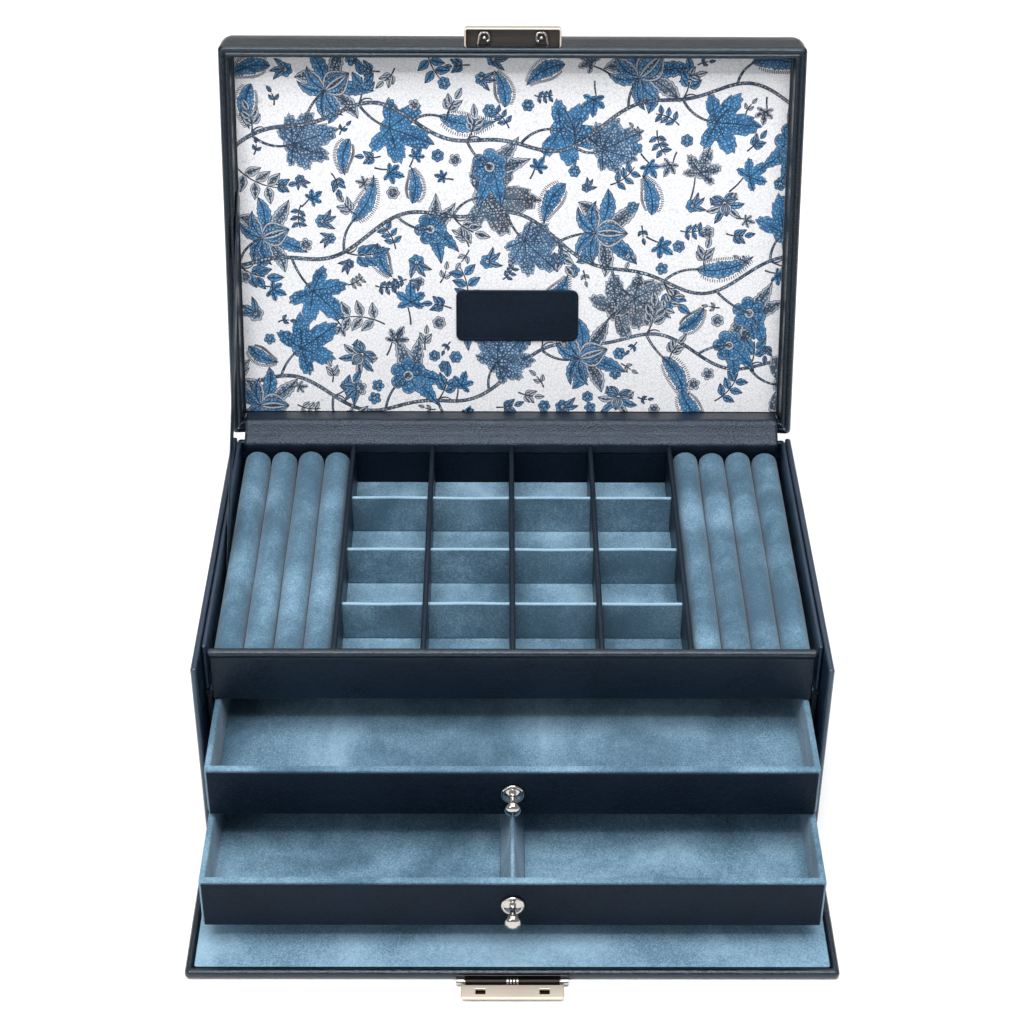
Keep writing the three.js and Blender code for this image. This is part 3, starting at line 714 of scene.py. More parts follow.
# Split: half its width is ridge + (foot - ridge)(1 - h)^2.2 at height h, and the ridge is round.
def splitPiece(name, node):
    low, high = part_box(node)
    h = np.linspace(0, 1, 14)
    ridge, foot = 1.0 * mm, (high[0] - low[0]) / 2
    width = ridge + (foot - ridge) * (1 - h) ** 2.2
    z = low[2] - 0.4 * mm + h * (high[2] - low[2] - ridge + 0.4 * mm)
    angle = np.linspace(0, math.pi, 9)[1:-1]
    x = (low[0] + high[0]) / 2
    section = np.vstack([np.column_stack([x + width, z]),
        np.column_stack([x + ridge * np.cos(angle), high[2] - ridge + ridge * np.sin(angle)]),
        np.column_stack([x - width[::-1], z[::-1]])])
    return sectionPiece(name, section, (low[1], high[1]), 1, 0.2 * mm, 8)


def buildDrawers():
    for level in ("upper", "lower"):
        body = f"{level}_drawer"
        low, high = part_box(body + "_box")
        place(drawerPiece(body + "_tray", low, high), suede, body, "blue_suede", body + "_box")
        leatherBoard(body + "_facing", boards["facing"], body=body, material=facingLeather)
        place(knobPiece(body + "_pull", body + "_knob"), chrome, body, "chrome", body + "_knob")
    place(splitPiece("lower_drawer_ridge", "lower_drawer_split"), suede, "lower_drawer", "blue_suede",
        "lower_drawer_split")


buildDrawers()
print("drawers made")


flap = {"border": 4.2}


def buildDropFront():
    low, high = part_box("flap_board")
    border = flap["border"]
    rows = [(2.2, 0), (0.9, 0.25), (0.25, 1.0), (0, 2.4), (0.2, 3.8), (0.75, 4.6), (1.7, 5.0), (2.6, 5.0),
        (3.5, 4.75), (border - 0.25, 4.3), (border, 3.9), (border + 0.5, 3.82), (border + 20, 3.82)]
    profile = evenProfile(rows, 2.4, 0.5, 0.6)
    place(rimPiece("flap_board_cover", low, high, profile), softLeather, "drop_front", "navy_leather",
        "flap_board")
    low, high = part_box("flap_lining")
    rows = [(0.5, 4.1), (0, 4.3), (0, 4.5), (0.25, 4.85), (0.8, 5.0), (3, 5.05), (12, 5.1), (40, 5.1)]
    profile = evenProfile(rows, 1.2, 0.2, 0.5)
    place(rimPiece("flap_suede", low, high, profile), flapSuede, "drop_front", "blue_suede",
        "flap_lining")


def buildHasp():
    low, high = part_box("hasp_plate")
    pinY, pinZ = high[1] - 2.0 * mm, 2.4 * mm
    half = high[0]
    slots = [x * 15.5 * mm + side * 2.35 * mm for x in (-1, 1) for side in (-1, 1)]
    shoulder = pinY - 2.6 * mm
    middle = (low[1] + shoulder) / 2
    corner = 1.2 * mm
    xs = [-half, corner - half, *slots, half - corner, half]
    ys = [low[1], low[1] + corner, middle - 1.55 * mm, middle + 1.55 * mm, shoulder]
    plate = platePiece("hasp_leaf", xs, ys, (1.7 * mm, 3.1 * mm), [(2, 2), (4, 2)], 0.35 * mm)
    placeMetal(plate, nickel, "hasp", "hasp_plate")
    back = roundedBoard("hasp_shadow", (-half + 3 * mm, middle - 2.4 * mm, 0.7 * mm),
        (half - 3 * mm, middle + 2.4 * mm, 1.5 * mm), 0.2 * mm)
    placeMetal(back, darkNickel("haspShadow", 0.35), "hasp")
    angle = np.arange(20) / 20 * 2 * math.pi
    roll = ringPoints(pinY, pinZ, 1.75 * mm, angle)
    barrel = sectionPiece("hasp_barrel", roll[::-1], (-half + 2.0 * mm, half - 2.0 * mm), 0, 0.3 * mm)
    placeMetal(barrel, darkNickel("haspBarrel", 0.5), "hasp")
    wide = ringPoints(pinY, pinZ, 1.9 * mm, angle)
    for i, x in enumerate((-2.4, -0.8, 0.8, 2.4)):
        knuckle = sectionPiece(f"hasp_knuckle_{i + 1}", wide[::-1], ((x - 0.55) * mm, (x + 0.55) * mm), 0,
            0.25 * mm)
        placeMetal(knuckle, chrome, "hasp")


buildDropFront()
buildHasp()
print("drop front and hasp made")


lidPlace = {"lean": math.radians(17.15), "rear": 0.36, "rise": 3.76, "length": 216.75}


# Points given as x, distance s up from the hinge side and depth t, turned into the row frame.
def onLid(points):
    points = np.asarray(points, float)
    s, t = points[..., 1], points[..., 2]
    sine, cosine = math.sin(lidPlace["lean"]), math.cos(lidPlace["lean"])
    y = rearEdge + lidPlace["rear"] * mm + s * sine + t * cosine
    z = wallTop + lidPlace["rise"] * mm + s * cosine - t * sine
    return np.stack([points[..., 0], y, z], -1)


# The rim is cut back behind the hinge band, between its two ends.
def bandRecess(points):
    behind = (np.abs(points[:, 0]) < 152.4 * mm) & (points[:, 1] < 5.6 * mm)
    points[:, 2] = np.where(behind, np.maximum(points[:, 2], 2.6 * mm), points[:, 2])
    return onLid(points)


def buildLidShell():
    length = lidPlace["length"]
    rim = [(6.3, 5.0, 6.3, 0.6, 24), (6.3, 5.0, 6.3, 0.6, 1.5), (6.1, 4.9, 6.1, 0.65, 0.7),
        (5.6, 4.4, 5.6, 0.7, 0.15), (5.0, 3.6, 5.0, 0.8, 0.0), (4.2, 2.6, 4.2, 1.0, 0.1),
        (3.85, 2.2, 3.85, 1.1, 0.55), (3.6, 1.9, 3.6, 1.2, 0.6), (3.35, 1.6, 3.35, 1.3, 0.15),
        (2.7, 1.0, 2.7, 1.6, -0.25), (1.9, 0.3, 1.9, 1.9, -0.4), (1.1, -0.5, 1.1, 2.1, -0.05),
        (0.45, -1.2, 0.45, 2.4, 0.7), (0.1, -1.5, 0.1, 2.5, 1.7), (0, -1.6, 0, 2.6, 3.0)]
    wall = [(-0.1, -1.6, -0.9, 3.4, 8), (-0.3, -1.5, -2.2, 4.4, 15), (-0.4, -1.2, -2.9, 5.4, 21),
        (-0.3, -0.6, -2.8, 6, 26.4), (0.1, -0.1, -2.3, 6, 27.0), (0.6, 0.6, -1.8, 6, 27.2),
        (0.3, 0.3, -2.1, 6, 27.6), (0, 0, -2.5, 6, 28.2), (0, 0, -2.4, 6.5, 29.5),
        (0.5, 0.5, -1.8, 7, 31.0), (1.8, 1.8, -0.3, 8, 32.1), (4.5, 4.5, 3, 9, 32.8),
        (12, 12, 11, 12, 33.3), (40, 40, 40, 20, 33.7), (80, 80, 80, 20, 33.8)]
    shell = rimPiece("lid_shell", (-halfWidth, 0), (halfWidth, length * mm), rim + wall, 7, 62,
        bandRecess)
    place(shell, softLeather, "lid", "navy_leather", "lid_wall_left", "lid_wall_right", "lid_wall_front",
        "lid_wall_hinge", "lid_top", "lid_panel")


def lidBoard(name, low, high, radius, material, slot, *nodes):
    piece = roundedBoard(name, np.array(low) * mm, np.array(high) * mm, radius * mm, 0, 4, onLid)
    return place(piece, material, "lid", slot, *nodes)


buildLidShell()
print("lid made")


lining = {"left": -153.4, "right": 153.4, "low": 6.5, "high": 210.15, "face": 18.6}


def liningGround(name):
    shade = Shade(name)
    cells = shade.cells(520, "DISTANCE_TO_EDGE", shade.stretched((1, 1, 1)))
    tooth = shade.noise(900, 3)
    tint = shade.mix(cells.below(0.05, 0.05) * 0.8 + tooth.above(0.62, 0.1) * 0.3, colour(211, 211, 213),
        colour(180, 181, 186))
    return shade.finish(Base_Color=tint, Roughness=0.7, Specular_IOR_Level=0.2,
        Normal=shade.bump(cells.above(0.08, 0.08) + tooth * 0.3, 0.25, 0.0002))


inkColours = {"navy": (22, 34, 52), "blue": (30, 66, 100), "middle": (46, 90, 128),
    "bright": (78, 138, 180), "slate": (40, 56, 72), "grey": (66, 84, 100), "sand": (170, 158, 150),
    "cream": (176, 182, 190)}


# Inked motif. The first UV value is the distance in from the outline and the second the distance
# from the nearest rib, both in hundredths of a metre; tone runs from blue at 0 to slate at 1.
def inkedMotif(name):
    shade = Shade(name)
    spot = shade.put("ShaderNodeSeparateXYZ", {}, {"Vector": shade.put("ShaderNodeUVMap", {}, {}, "UV")},
        "X")
    rib = shade.put("ShaderNodeSeparateXYZ", {}, {"Vector": shade.put("ShaderNodeUVMap", {}, {}, "UV")},
        "Y")
    tone = shade.put("ShaderNodeAttribute", {"attribute_name": "tone"}, {}, "Fac")
    clouds = shade.noise(90, 3)
    cells = shade.cells(620, "DISTANCE_TO_EDGE")
    blue = shade.mix(clouds.above(0.5, 0.14), colour(*inkColours["blue"]), colour(*inkColours["middle"]))
    slate = shade.mix(clouds.above(0.52, 0.12), colour(*inkColours["slate"]), colour(*inkColours["grey"]))
    body = shade.mix(tone, blue, slate)
    pale = shade.mix(shade.noise(60, 2).above(0.52, 0.06), colour(*inkColours["cream"]),
        colour(*inkColours["sand"]))
    cell = shade.mix(tone, colour(*inkColours["bright"]), pale)
    edged = shade.mix(cells.above(0.2, 0.1) * (1.0 - tone * 0.3), body, cell)
    rim = (spot - 0.085).below(0.035, 0.012) * rib.below(2.5, 0.2) * (tone * 0.6 + 0.1)
    edged = shade.mix(rim, edged, colour(*inkColours["cream"]))
    wobble = (shade.noise(1400, 2) - 0.5) * 0.04
    outline = (spot + wobble).below(0.04, 0.014)
    veins = (rib + wobble).below(0.03, 0.012)
    marks = shade.put("ShaderNodeMath", {"operation": "MAXIMUM"}, {0: outline, 1: veins})
    tint = shade.mix(marks * 0.92, edged, colour(*inkColours["navy"]))
    return shade.finish(Base_Color=tint, Roughness=0.68, Specular_IOR_Level=0.2,
        Normal=shade.bump(shade.noise(900, 3), 0.2, 0.0001))


# Flat motifs are gathered here and become one mesh, each lying a hair nearer the viewer.
class Sheet:
    def __init__(self):
        self.points, self.faces, self.uv, self.tone = [], [], [], []
        self.count, self.layer, self.bloom = 0, 0, 0
        self.parts = []

    # Closes one piece of the print; the motifs that follow go into the next.
    def part(self, name):
        self.parts.append((name, self.points, self.faces, self.uv, self.tone))
        self.points, self.faces, self.uv, self.tone, self.count = [], [], [], [], 0

    # The next motif: its own parts lie over each other, and it lies a hair over the one before.
    def next(self):
        self.layer, self.bloom = 0, self.bloom + 1

    def add(self, points, uv, faces, tone):
        flat = np.asarray(points, float).reshape(-1, 2)
        height = lining["face"] - 0.03 - 0.004 * self.layer - 0.00011 * self.bloom
        self.points.append(np.column_stack([flat, np.full(len(flat), height)]))
        self.uv.append(np.asarray(uv, float).reshape(-1, 2) / 10)
        self.tone.append(np.full(len(flat), tone))
        self.faces += [tuple(k + self.count for k in face) for face in faces]
        self.count += len(flat)
        self.layer += 1


# Leaf: a midrib that bends by curl over its length, and half-width sin(pi u^0.75) with saw teeth.
def addLeaf(sheet, start, heading, length, width, curl=0.5, teeth=9, depth=0.18, tone=0.0, sharp=0.75):
    rows, columns = (30 if length > 14 else 12), 5
    u = np.linspace(0, 1, rows)
    turn = heading + curl * u
    spine = np.cumsum(np.column_stack([np.cos(turn), np.sin(turn)]) * length / rows, 0) + start
    side = np.column_stack([-np.sin(turn), np.cos(turn)])
    half = width / 2 * np.sin(math.pi * u ** sharp) * (1 - depth * ((u * teeth) % 1)) + 0.12
    v = np.linspace(-1, 1, columns)
    points = spine[:, None] + side[:, None] * (half[:, None] * v)[..., None]
    edge = half[:, None] * (1 - np.abs(v))
    rib = np.abs(half[:, None] * v) + 0 * edge
    sheet.add(points, np.stack([edge, rib], -1), gridFaces(rows, columns), tone)
    return spine


# Lobed leaf or rosette: from a middle point out to radius r(a), read at even angles.
def addFan(sheet, centre, radius, ribs, tone, turn=0.0):
    rings, columns = (4 if len(radius) > 40 else 2), len(radius)
    a = np.linspace(-math.pi, math.pi, columns, endpoint=False)
    rho = np.linspace(0.02, 1, rings)[:, None]
    r = rho * radius
    points = np.stack([centre[0] + r * np.cos(a + turn), centre[1] + r * np.sin(a + turn)], -1)
    nearest = np.min(np.abs(np.angle(np.exp(1j * (a[None] - np.array(ribs)[:, None])))), 0)
    rib = r * np.sin(np.minimum(nearest, math.pi / 2))
    edge = radius * (1 - rho)
    faces = gridFaces(rings, columns, wrap=True)
    sheet.add(points, np.stack([edge, rib], -1), faces + [tuple(range(columns))[::-1]], tone)


def addLobed(sheet, centre, heading, size, tone, lobes=(0, 0.95, -0.95, 1.9, -1.9)):
    count = 110 if size > 12 else 60
    a = np.linspace(-math.pi, math.pi, count, endpoint=False)
    radius = np.full(count, 0.22)
    for k, lobe in enumerate(lobes):
        reach = 1 - 0.17 * ((k + 1) // 2)
        gap = np.abs(np.angle(np.exp(1j * (a - lobe))))
        radius = np.maximum(radius, reach * np.clip(1 - (gap / 0.62) ** 1.35, 0, 1) ** 0.55)
    radius = radius * (1 - 0.13 * ((a * 5.2) % 1)) * size
    addFan(sheet, centre, radius, lobes, tone, heading)


def addRosette(sheet, centre, size, petals, tone, turn=0.0):
    a = np.linspace(-math.pi, math.pi, 60 if size > 5 else 30, endpoint=False)
    radius = size * (0.72 + 0.28 * np.abs(np.cos(petals * a / 2)) ** 0.6)
    gaps = [(2 * k + 1) * math.pi / petals for k in range(petals)]
    addFan(sheet, centre, radius, gaps, tone, turn)
    addFan(sheet, centre, np.full(14, size * 0.3), [9.0], 1 - tone * 0.6, turn)


# Stem: a ribbon on a smooth line, thick at the start and thin at the end.
def addStem(sheet, line, thick, thin, tone=0.9):
    side = leftOf(line)
    half = np.linspace(thick, thin, len(line)) / 2
    v = np.linspace(-1, 1, 3)
    points = line[:, None] + side[:, None] * (half[:, None] * v)[..., None]
    edge = half[:, None] * (1 - np.abs(v))
    sheet.add(points, np.stack([edge, edge * 0 + 30], -1), gridFaces(len(line), 3), tone)


# Great flower: petals that curl away from a heading, sepals turned back below, and a ribbed heart
# of three leaves of one length, each narrower than the one below it.
def addGreatFlower(sheet, centre, heading, size):
    for k, spread in enumerate((-1.5, -0.95, -0.45, 0.45, 0.95, 1.5)):
        reach = size * (0.6 + 0.26 * math.cos(spread))
        addLeaf(sheet, centre, heading + spread, reach, size * 0.27, 0.85 * spread, 7, 0.2,
            0.9 if k % 2 else 0.05, 1.15)
    for spread in (2.2, -2.2, 2.8, -2.8):
        addLeaf(sheet, centre, heading + spread, size * 0.55, size * 0.2, -1.2 * np.sign(spread), 5, 0.25,
            0.1)
    foot = centre - size * 0.06 * towards(heading)
    for width, tone in ((0.46, 0.95), (0.3, 0.05), (0.13, 0.9)):
        addLeaf(sheet, foot, heading, size * 0.56, size * width, 0.0, 1, 0.02, tone, 0.85)


# Plume: a curved leaf with a fringe of short hairs on both sides.
def addPlume(sheet, start, heading, length, width, curl, tone):
    spine = addLeaf(sheet, start, heading, length, width, curl, 16, 0.3, tone)
    turn = heading + curl * np.linspace(0, 1, len(spine))
    side = np.column_stack([-np.sin(turn), np.cos(turn)])
    half = width / 2 * np.sin(math.pi * np.linspace(0, 1, len(spine)) ** 0.75)
    for sign in (-1, 1):
        for i in range(3, len(spine) - 2):
            hair = spine[i] + np.outer([half[i] * sign, (half[i] + 1.7) * sign], side[i])
            addStem(sheet, hair, 0.55, 0.4, 0.4)
            sheet.layer -= 1


# A stem line from a start, turning steadily: heading grows by curl over its length.
def stemLine(start, heading, length, curl, steps=24):
    turn = heading + curl * np.linspace(0, 1, steps)
    return np.cumsum(np.column_stack([np.cos(turn), np.sin(turn)]) * length / steps, 0) + start


vines = {"rows": [(-175, 30, 0.12, 15, 0.030), (-175, 104, -0.05, 19, 0.026),
    (-175, 172, 0.06, 14, 0.031)], "step": 30, "seed": 41, "sizes": (35, 26, 30, 24, 30, 26)}


# Sprig: a short bent stalk with leaves in pairs and one at its tip.
def addSprig(sheet, start, heading, size, curl, pairs, tone):
    tail = stemLine(start, heading, size, curl)
    addStem(sheet, tail, 1.0, 0.6)
    for j in range(pairs):
        at = int(10 + 12 * j / max(pairs, 1))
        for sign in (-1, 1):
            addLeaf(sheet, tail[at], heading + curl * at / 24 + sign * 0.95, size * 0.6, size * 0.33,
                -0.5 * sign, 4, 0.16, tone)
    addLeaf(sheet, tail[-1], heading + curl, size * 0.68, size * 0.34, 0.2, 5, 0.2, tone)


# Layout: vines wave across the panel; each node of a vine bears, in turn, a great flower, a lobed
# leaf, a plume or a rosette spray; then gaps are filled by sprigs and rosettes where nothing lies near.
def layMotifs(sheet):
    draw = np.random.default_rng(vines["seed"])
    taken, stems, blooms = [], [], []

    def free(centre, radius):
        return all(math.hypot(centre[0] - x, centre[1] - y) > 0.88 * (radius + r) for x, y, r in taken)

    order = 0
    for row, (x0, y0, slope, wave, rate) in enumerate(vines["rows"]):
        x = np.linspace(x0, 170, 220)
        line = np.column_stack([x, y0 + slope * x + wave * np.sin(x * rate + row * 2.2) + 4
            * np.sin(x * 0.09 + row)])
        stems.append((line, 2.3, 1.9))
        for k, at in enumerate(np.arange(x0 + 12 + row * 9, 168, vines["step"])):
            i = int(np.argmin(np.abs(x - at)))
            heading = math.atan2(*(line[min(i + 1, 219)] - line[i])[::-1])
            sign = 1 if (k + row) % 2 else -1
            curl = -sign * draw.uniform(0.4, 1.2)
            reach = draw.uniform(16, 25)
            twig = stemLine(line[i], heading + sign * 1.2, reach, curl)
            end, way = twig[-1], heading + sign * 1.2 + curl
            kind = order % 6
            order += 1
            size = vines["sizes"][kind] * draw.uniform(0.9, 1.1)
            stems.append((twig, 1.6, 1.1))
            taken.append((*end, size * 0.62))
            blooms.append((kind, end, way, size, draw.integers(2)))
            if k % 2 == 0:
                stems.append((stemLine(line[i], heading - sign * 0.9, 9, sign * 1.6), 1.1, 0.5))
                blooms.append((6, line[i], heading - sign * 0.9, 15 * draw.uniform(0.8, 1.1),
                    draw.integers(2)))
        taken += [(*line[i], 2.0) for i in range(0, 220, 3)]
    for line, thick, thin in stems:
        addStem(sheet, line, thick, thin)
    sheet.part("stems")
    for kind, end, way, size, shade in blooms:
        sheet.next()
        if kind == 0:
            addGreatFlower(sheet, end, way, size)
        elif kind in (1, 4):
            addLobed(sheet, end, way, size, 0.95 if shade else 0.05)
        elif kind == 2:
            addPlume(sheet, end - 6 * towards(way), way, size * 1.15, size * 0.36, 0.9 - 1.8 * shade, 0.1)
            addSprig(sheet, end, way + 2.0, size * 0.4, -0.5, 2, 0.8)
        elif kind == 5:
            addLobed(sheet, end, way, size, 0.5, (0, 0.7, -0.7, 1.35, -1.35, 2.0, -2.0))
        elif kind == 6:
            addSprig(sheet, end, way, size, 0.6, 2, 0.9 * shade)
        else:
            for spread in (-1.15, -0.55, 0.55, 1.15):
                addLeaf(sheet, end, way + spread, size * 0.95, size * 0.38, 0.4 * np.sign(spread), 6,
                    0.22, float(spread > 0) * 0.9)
            addRosette(sheet, end, size * 0.42, 6, 0.1, way)
    sheet.part("blooms")
    for tries in range(4200):
        size = draw.uniform(11, 16) if tries < 500 else draw.uniform(6.5,
            10) if tries < 2600 else draw.uniform(4, 6)
        centre = np.array([draw.uniform(-152, 152), draw.uniform(7, 209)])
        way, kind, tone = draw.uniform(0,
            2 * math.pi), draw.integers(7), float(draw.random() < 0.4) * 0.95
        if not free(centre, size * 0.92):
            continue
        taken.append((*centre, size * 0.92))
        sheet.next()
        ahead = towards(way)
        tail = centre - size * 0.9 * ahead
        if size < 4.8:
            addRosette(sheet, centre, size * 0.85, 5 + kind % 2, tone, way)
        elif size > 10.5 and kind < 3:
            addPlume(sheet, tail, way, size * 1.9, size * 0.75, 0.9, 0.05)
        elif size > 10.5 and kind < 5:
            addGreatFlower(sheet, centre - size * 0.2 * ahead, way, size * 1.35)
        elif kind == 1:
            addRosette(sheet, centre, size * 0.6, 6, tone, way)
            for spread in (2.4, -2.4, 3.3):
                addLeaf(sheet, centre, way + spread, size * 1.25, size * 0.5, 0.5, 4, 0.2, 0.1)
        elif kind < 5:
            addSprig(sheet, tail, way, size * 1.25, draw.uniform(-0.8, 0.8), 1 + (size > 7), tone)
        elif kind == 5:
            addStem(sheet, stemLine(tail - size * 0.3 * ahead, way, size, 0.3), 1.1, 0.8)
            addLobed(sheet, centre, way, size * 1.15, tone)
        else:
            stalk = stemLine(tail, way, size * 2.0, 0.8)
            addStem(sheet, stalk, 0.9, 0.6)
            for j in range(5, 22, 6):
                for sign in (-1, 1):
                    addLeaf(sheet, stalk[j], way + 0.8 * j / 24 + sign * 0.9, size * 0.75, size * 0.4,
                        0.3 * sign, 3, 0.1, tone)


def buildLining():
    ground = liningGround("liningGround")
    lidBoard("lid_lining_board", (lining["left"], lining["low"], lining["face"]),
        (lining["right"], lining["high"], lining["face"] + 1.6), 0.4, ground, "printed_lining",
        "lid_lining")
    ink = inkedMotif("inkedMotif")
    sheet = Sheet()
    layMotifs(sheet)
    sheet.part("sprigs")
    for name, points, faces, uv, tone in sheet.parts:
        spots = np.vstack(points)
        spots[:, 0] = np.clip(spots[:, 0], lining["left"] + 0.2, lining["right"] - 0.2)
        spots[:, 1] = np.clip(spots[:, 1], lining["low"] + 0.2, lining["high"] - 0.2)
        piece = meshPiece("lid_print_" + name, onLid(spots * mm), faces, np.vstack(uv),
            np.concatenate(tone), weighted=False)
        place(piece, ink, "lid", "printed_lining")
        print("print", name, len(faces))


buildLining()
print("printed lining made")


badge = {"x": 3.2, "s": 63.6, "width": 69.6, "length": 29.6, "near": 17.1, "far": 18.3, "corner": 4.0}


def buildBadge():
    low = (badge["x"] - badge["width"] / 2, badge["s"] - badge["length"] / 2)
    high = (low[0] + badge["width"], low[1] + badge["length"])
    rows = [(0.0, badge["far"] - 0.05), (0, badge["near"] + 0.5), (0.2, badge["near"] + 0.15),
        (0.7, badge["near"]), (1.7, badge["near"]), (1.95, badge["near"] + 0.14), (2.2, badge["near"]),
        (6, badge["near"]), (14, badge["near"])]
    profile = evenProfile(rows, badge["corner"], 1, 0.5)
    piece = rimPiece("lid_badge_cover", np.array(low) * mm, np.array(high) * mm, profile, 7, 1, onLid)
    place(piece, navyLeather("badgeLeather", 0.4, 0.15, 0.16), "lid", "badge_leather", "lid_badge")


catch = {"half": 26.4, "low": 215.9, "high": 226.55, "near": 0.8, "wall": 1.0, "hook": 15.5}


# Hook: a wire bent up, over and down, with a ball held in the bend.
def hookPieces(x, base, depth, sign):
    bend = smoothLine([(x - 3.6, base), (x - 3.0, base + 3.4), (x - 2.4, base + 6.0),
        (x - 1.2, base + 6.9), (x + 1.4, base + 6.9), (x + 2.5, base + 5.8), (x + 2.6, base + 3.0),
        (x + 1.4, base + 2.2)], 5)
    turns = np.arange(12) / 12 * 2 * math.pi
    side = leftOf(bend)
    wire = 0.75
    points = np.zeros((len(bend), 12, 3))
    points[..., 0] = x + (bend[:, :1] - x) * sign + side[:, :1] * sign * wire * np.cos(turns)
    points[..., 1] = bend[:, 1:] + side[:, 1:] * wire * np.cos(turns)
    points[..., 2] = depth + wire * np.sin(turns)
    faces = tubeFaces(len(bend), 12)
    if sign > 0:
        faces = [face[::-1] for face in faces]
    return meshPiece("catch_hook", onLid(points.reshape(-1, 3) * mm), faces, weighted=False)


def buildCatch():
    low, high = np.array((-catch["half"], catch["low"])) * mm, np.array((catch["half"],
        catch["high"])) * mm
    near, wall = catch["near"], catch["wall"]
    rows = [(0.6, 12.8), (0.1, 12.5), (0, 11.9), (0, near + 0.5), (0.12, near + 0.12), (0.4, near),
        (wall - 0.3, near), (wall - 0.05, near + 0.15), (wall, near + 0.5)]
    profile = [(inset, inset * 0.4, inset, max(1.7 - inset, 0.5), height) for inset, height in rows]
    place(rimPiece("catch_hood_shell", low, high, profile
        + [(wall, wall * 0.4, wall, 0.7, 7.4), (wall + 0.3, 0.5, wall + 0.3, 0.6, 7.6)], 6, 1, onLid),
        nickel, "lid", "brushed_nickel", "catch_hood")
    lidBoard("catch_back", (-catch["half"] + 1.2, catch["low"] + 0.6, 7.0),
        (catch["half"] - 1.2, catch["high"] - 1.2, 7.5), 0.2, darkNickel("darkNickel"), "brushed_nickel",
        "catch_hooks")
    for sign in (-1, 1):
        hook = hookPieces(sign * catch["hook"], catch["low"] + 0.9, 4.2, -sign)
        hook.name = "catch_hook_" + ("left" if sign < 0 else "right")
        placeMetal(hook, chrome, "lid")
        ball = turnedPiece(hook.name + "_ball", [(0.05, -1.3), (0.7, -1.1), (1.15, -0.6), (1.3, 0),
            (1.15, 0.6), (0.7, 1.1), (0.05, 1.3)], onLid(np.array([sign * catch["hook"],
            catch["low"] + 5.0, 4.0]) * mm), 24)
        placeMetal(ball, chrome, "lid")


def buildBracket():
    low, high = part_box("hasp_bracket")
    pinY, pinZ = low[1] + 1.85 * mm, 2.4 * mm
    for sign in (-1, 1):
        a, b = sorted((sign * high[0], sign * (high[0] - 4.0 * mm)))
        lug = ringPoints(pinY, pinZ, -1.75 * mm, -np.linspace(math.pi / 2, 3 * math.pi / 2, 12))
        lug = np.vstack([lug, [(high[1], pinZ - 1.75 * mm), (high[1], pinZ + 1.75 * mm)]])
        piece = sectionPiece("hasp_lug_" + ("left" if sign < 0 else "right"), lug, (a, b), 0, 0.3 * mm)
        placeMetal(piece, chrome, "drop_front", *(("hasp_bracket",) if sign < 0 else ()))
    back = roundedBoard("hasp_back", (low[0], high[1] - 0.6 * mm, pinZ - 1.8 * mm),
        (high[0], high[1], pinZ + 1.8 * mm), 0.2 * mm)
    placeMetal(back, darkNickel("darkBack"), "drop_front")
    ring = ringPoints(pinY, pinZ, -0.75 * mm, -np.arange(16) / 16 * 2 * math.pi)
    placeMetal(sectionPiece("hasp_pin", ring, (low[0] + 1 * mm, high[0] - 1 * mm), 0, 0.1 * mm), chrome,
        "drop_front")


# Satin leather: a soft blue-grey shine over a fine even grain.
def satinLeather(name):
    shade = Shade(name)
    grain = shade.cells(1300, "SMOOTH_F1") * 0.7 + shade.noise(2600, 3) * 0.5
    clouds = shade.noise(60, 3)
    tint = shade.mix(clouds, colour(13, 20, 31), colour(20, 28, 40))
    waves = shade.bump(shade.noise(70, 2), 0.35, 0.001)
    return shade.finish(Base_Color=tint, Roughness=clouds * 0.08 + 0.36, Specular_IOR_Level=0.62,
        Specular_Tint=(0.7, 0.83, 1.0, 1.0), Normal=shade.bump(grain, 0.8, 0.0005, waves))


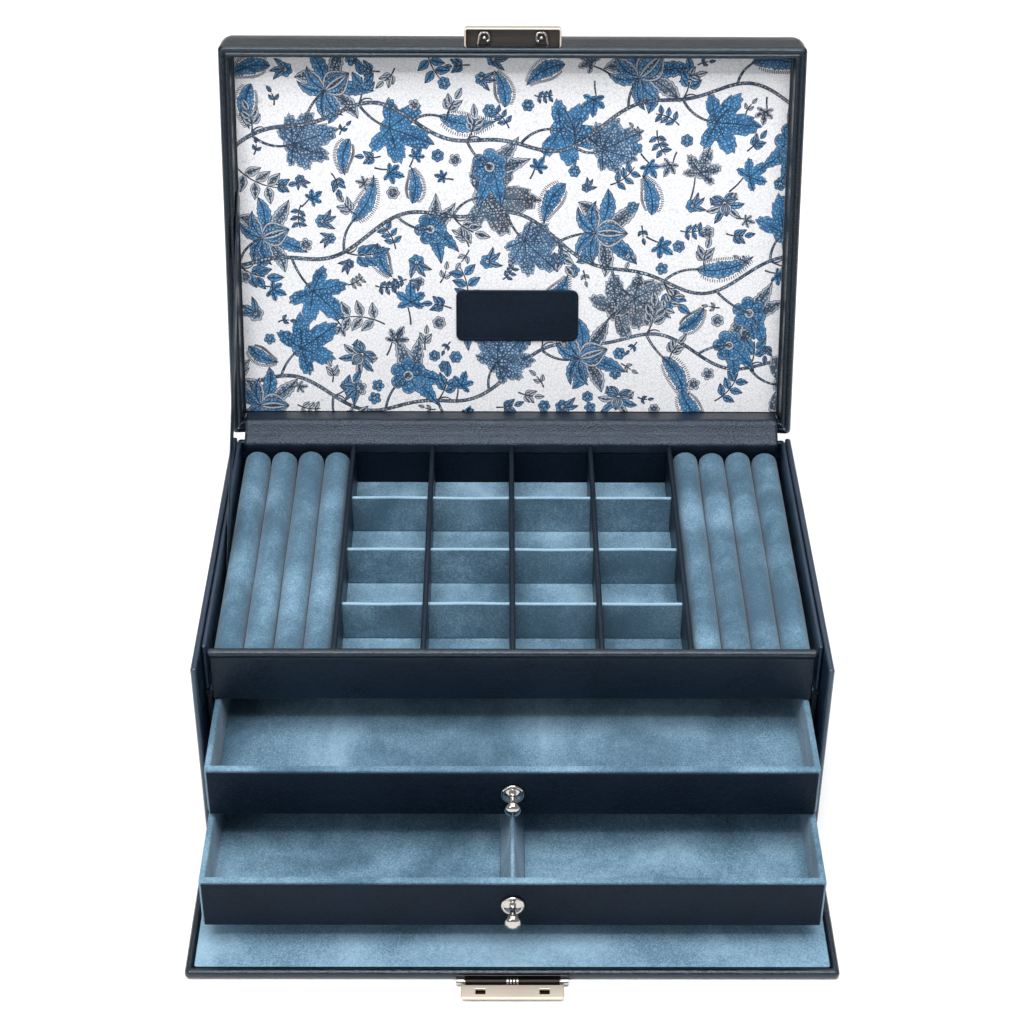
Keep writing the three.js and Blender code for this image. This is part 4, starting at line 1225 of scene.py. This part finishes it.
# Band: a strip of leather from the foot of the lining, over the rim and down behind the tray. It
# bulges between the two rims and puckers along its stitched foot.
def bandPiece():
    def lidPoint(s, t):
        return onLid(np.array([0, s, t]) * mm)[1:]

    middle = (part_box("tray_liner_rear")[0][1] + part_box("tray_liner_rear")[1][1]) / 2
    line = smoothLine([lidPoint(5.9, 18.0), lidPoint(5.9, 10), lidPoint(5.9, 3.4), lidPoint(4.6, 1.4),
        lidPoint(1.6, 0.3), (rearEdge - 0.7 * mm, wallTop + 3.0 * mm),
        (rearEdge - 3.2 * mm, wallTop + 1.4 * mm), (middle - 0.9 * mm, wallTop - 0.8 * mm),
        (middle - 0.9 * mm, wallTop - 3.4 * mm), (middle, wallTop - 7.4 * mm)], 8)
    out = -leftOf(line)
    columns, rows = 160, len(line)
    x = np.linspace(-152.2, 152.2, columns) * mm
    u = np.linspace(0, 1, rows)[:, None]
    pucker = (np.sin(x * 900 + 2 * np.sin(x * 170)) * 0.5
        + np.sin(x * 410 + 1)) * 0.16 * mm * np.clip((u - 0.62) / 0.2, 0, 1)
    sag = (np.sin(x * 55 + 1) + np.sin(x * 131)) * 0.22 * mm * np.sin(math.pi * u)
    shift = pucker + sag
    points = np.zeros((2, rows, columns, 3))
    for layer, depth in ((0, 0.5), (1, -0.5)):
        points[layer, ..., 0] = x
        points[layer, ..., 1] = line[:, :1] + out[:, :1] * (shift + depth * mm)
        points[layer, ..., 2] = line[:, 1:] + out[:, 1:] * (shift + depth * mm)
    length = float(np.sum(np.linalg.norm(np.diff(line, axis=0), axis=1)))
    return slabPiece("hinge_band_cover", *points), length


def buildBand():
    piece, length = bandPiece()
    piece.data.materials.append(satinLeather("satinLeather"))
    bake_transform(piece)
    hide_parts("hinge_band")
    print("band length", round(length, 4))


# Stay: a flat strap from the lid's side wall down to the tray, a little slack in the middle.
def buildStay():
    top = onLid(np.array([0, 134, 12]) * mm)[1:]
    foot = np.array([frontEdge + 99 * mm, 90.5 * mm])
    u = np.linspace(0, 1, 30)
    line = foot + (top - foot) * u[:, None]
    along = (top - foot) / np.linalg.norm(top - foot)
    side = np.array([-along[1], along[0]])
    cross = np.array([(-5, 0), (-4.6, 0.4), (4.6, 0.4), (5, 0), (4.6, -0.4), (-4.6, -0.4)]) * mm
    points = np.zeros((30, 6, 3))
    points[..., 0] = -152.8 * mm + cross[:, 1] + 0.25 * mm * np.sin(u * math.pi)[:, None]
    points[..., 1] = line[:, :1] + side[0] * cross[:, 0]
    points[..., 2] = line[:, 1:] + side[1] * cross[:, 0]
    piece = meshPiece("lid_stay_strap", points.reshape(-1, 3), [face[::-1] for face in tubeFaces(30, 6)])
    piece.data.materials.append(leather)
    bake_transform(piece)
    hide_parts("lid_stay")


buildBadge()
buildCatch()
buildBracket()
buildBand()
buildStay()
print("badge, catch, band and stay made")
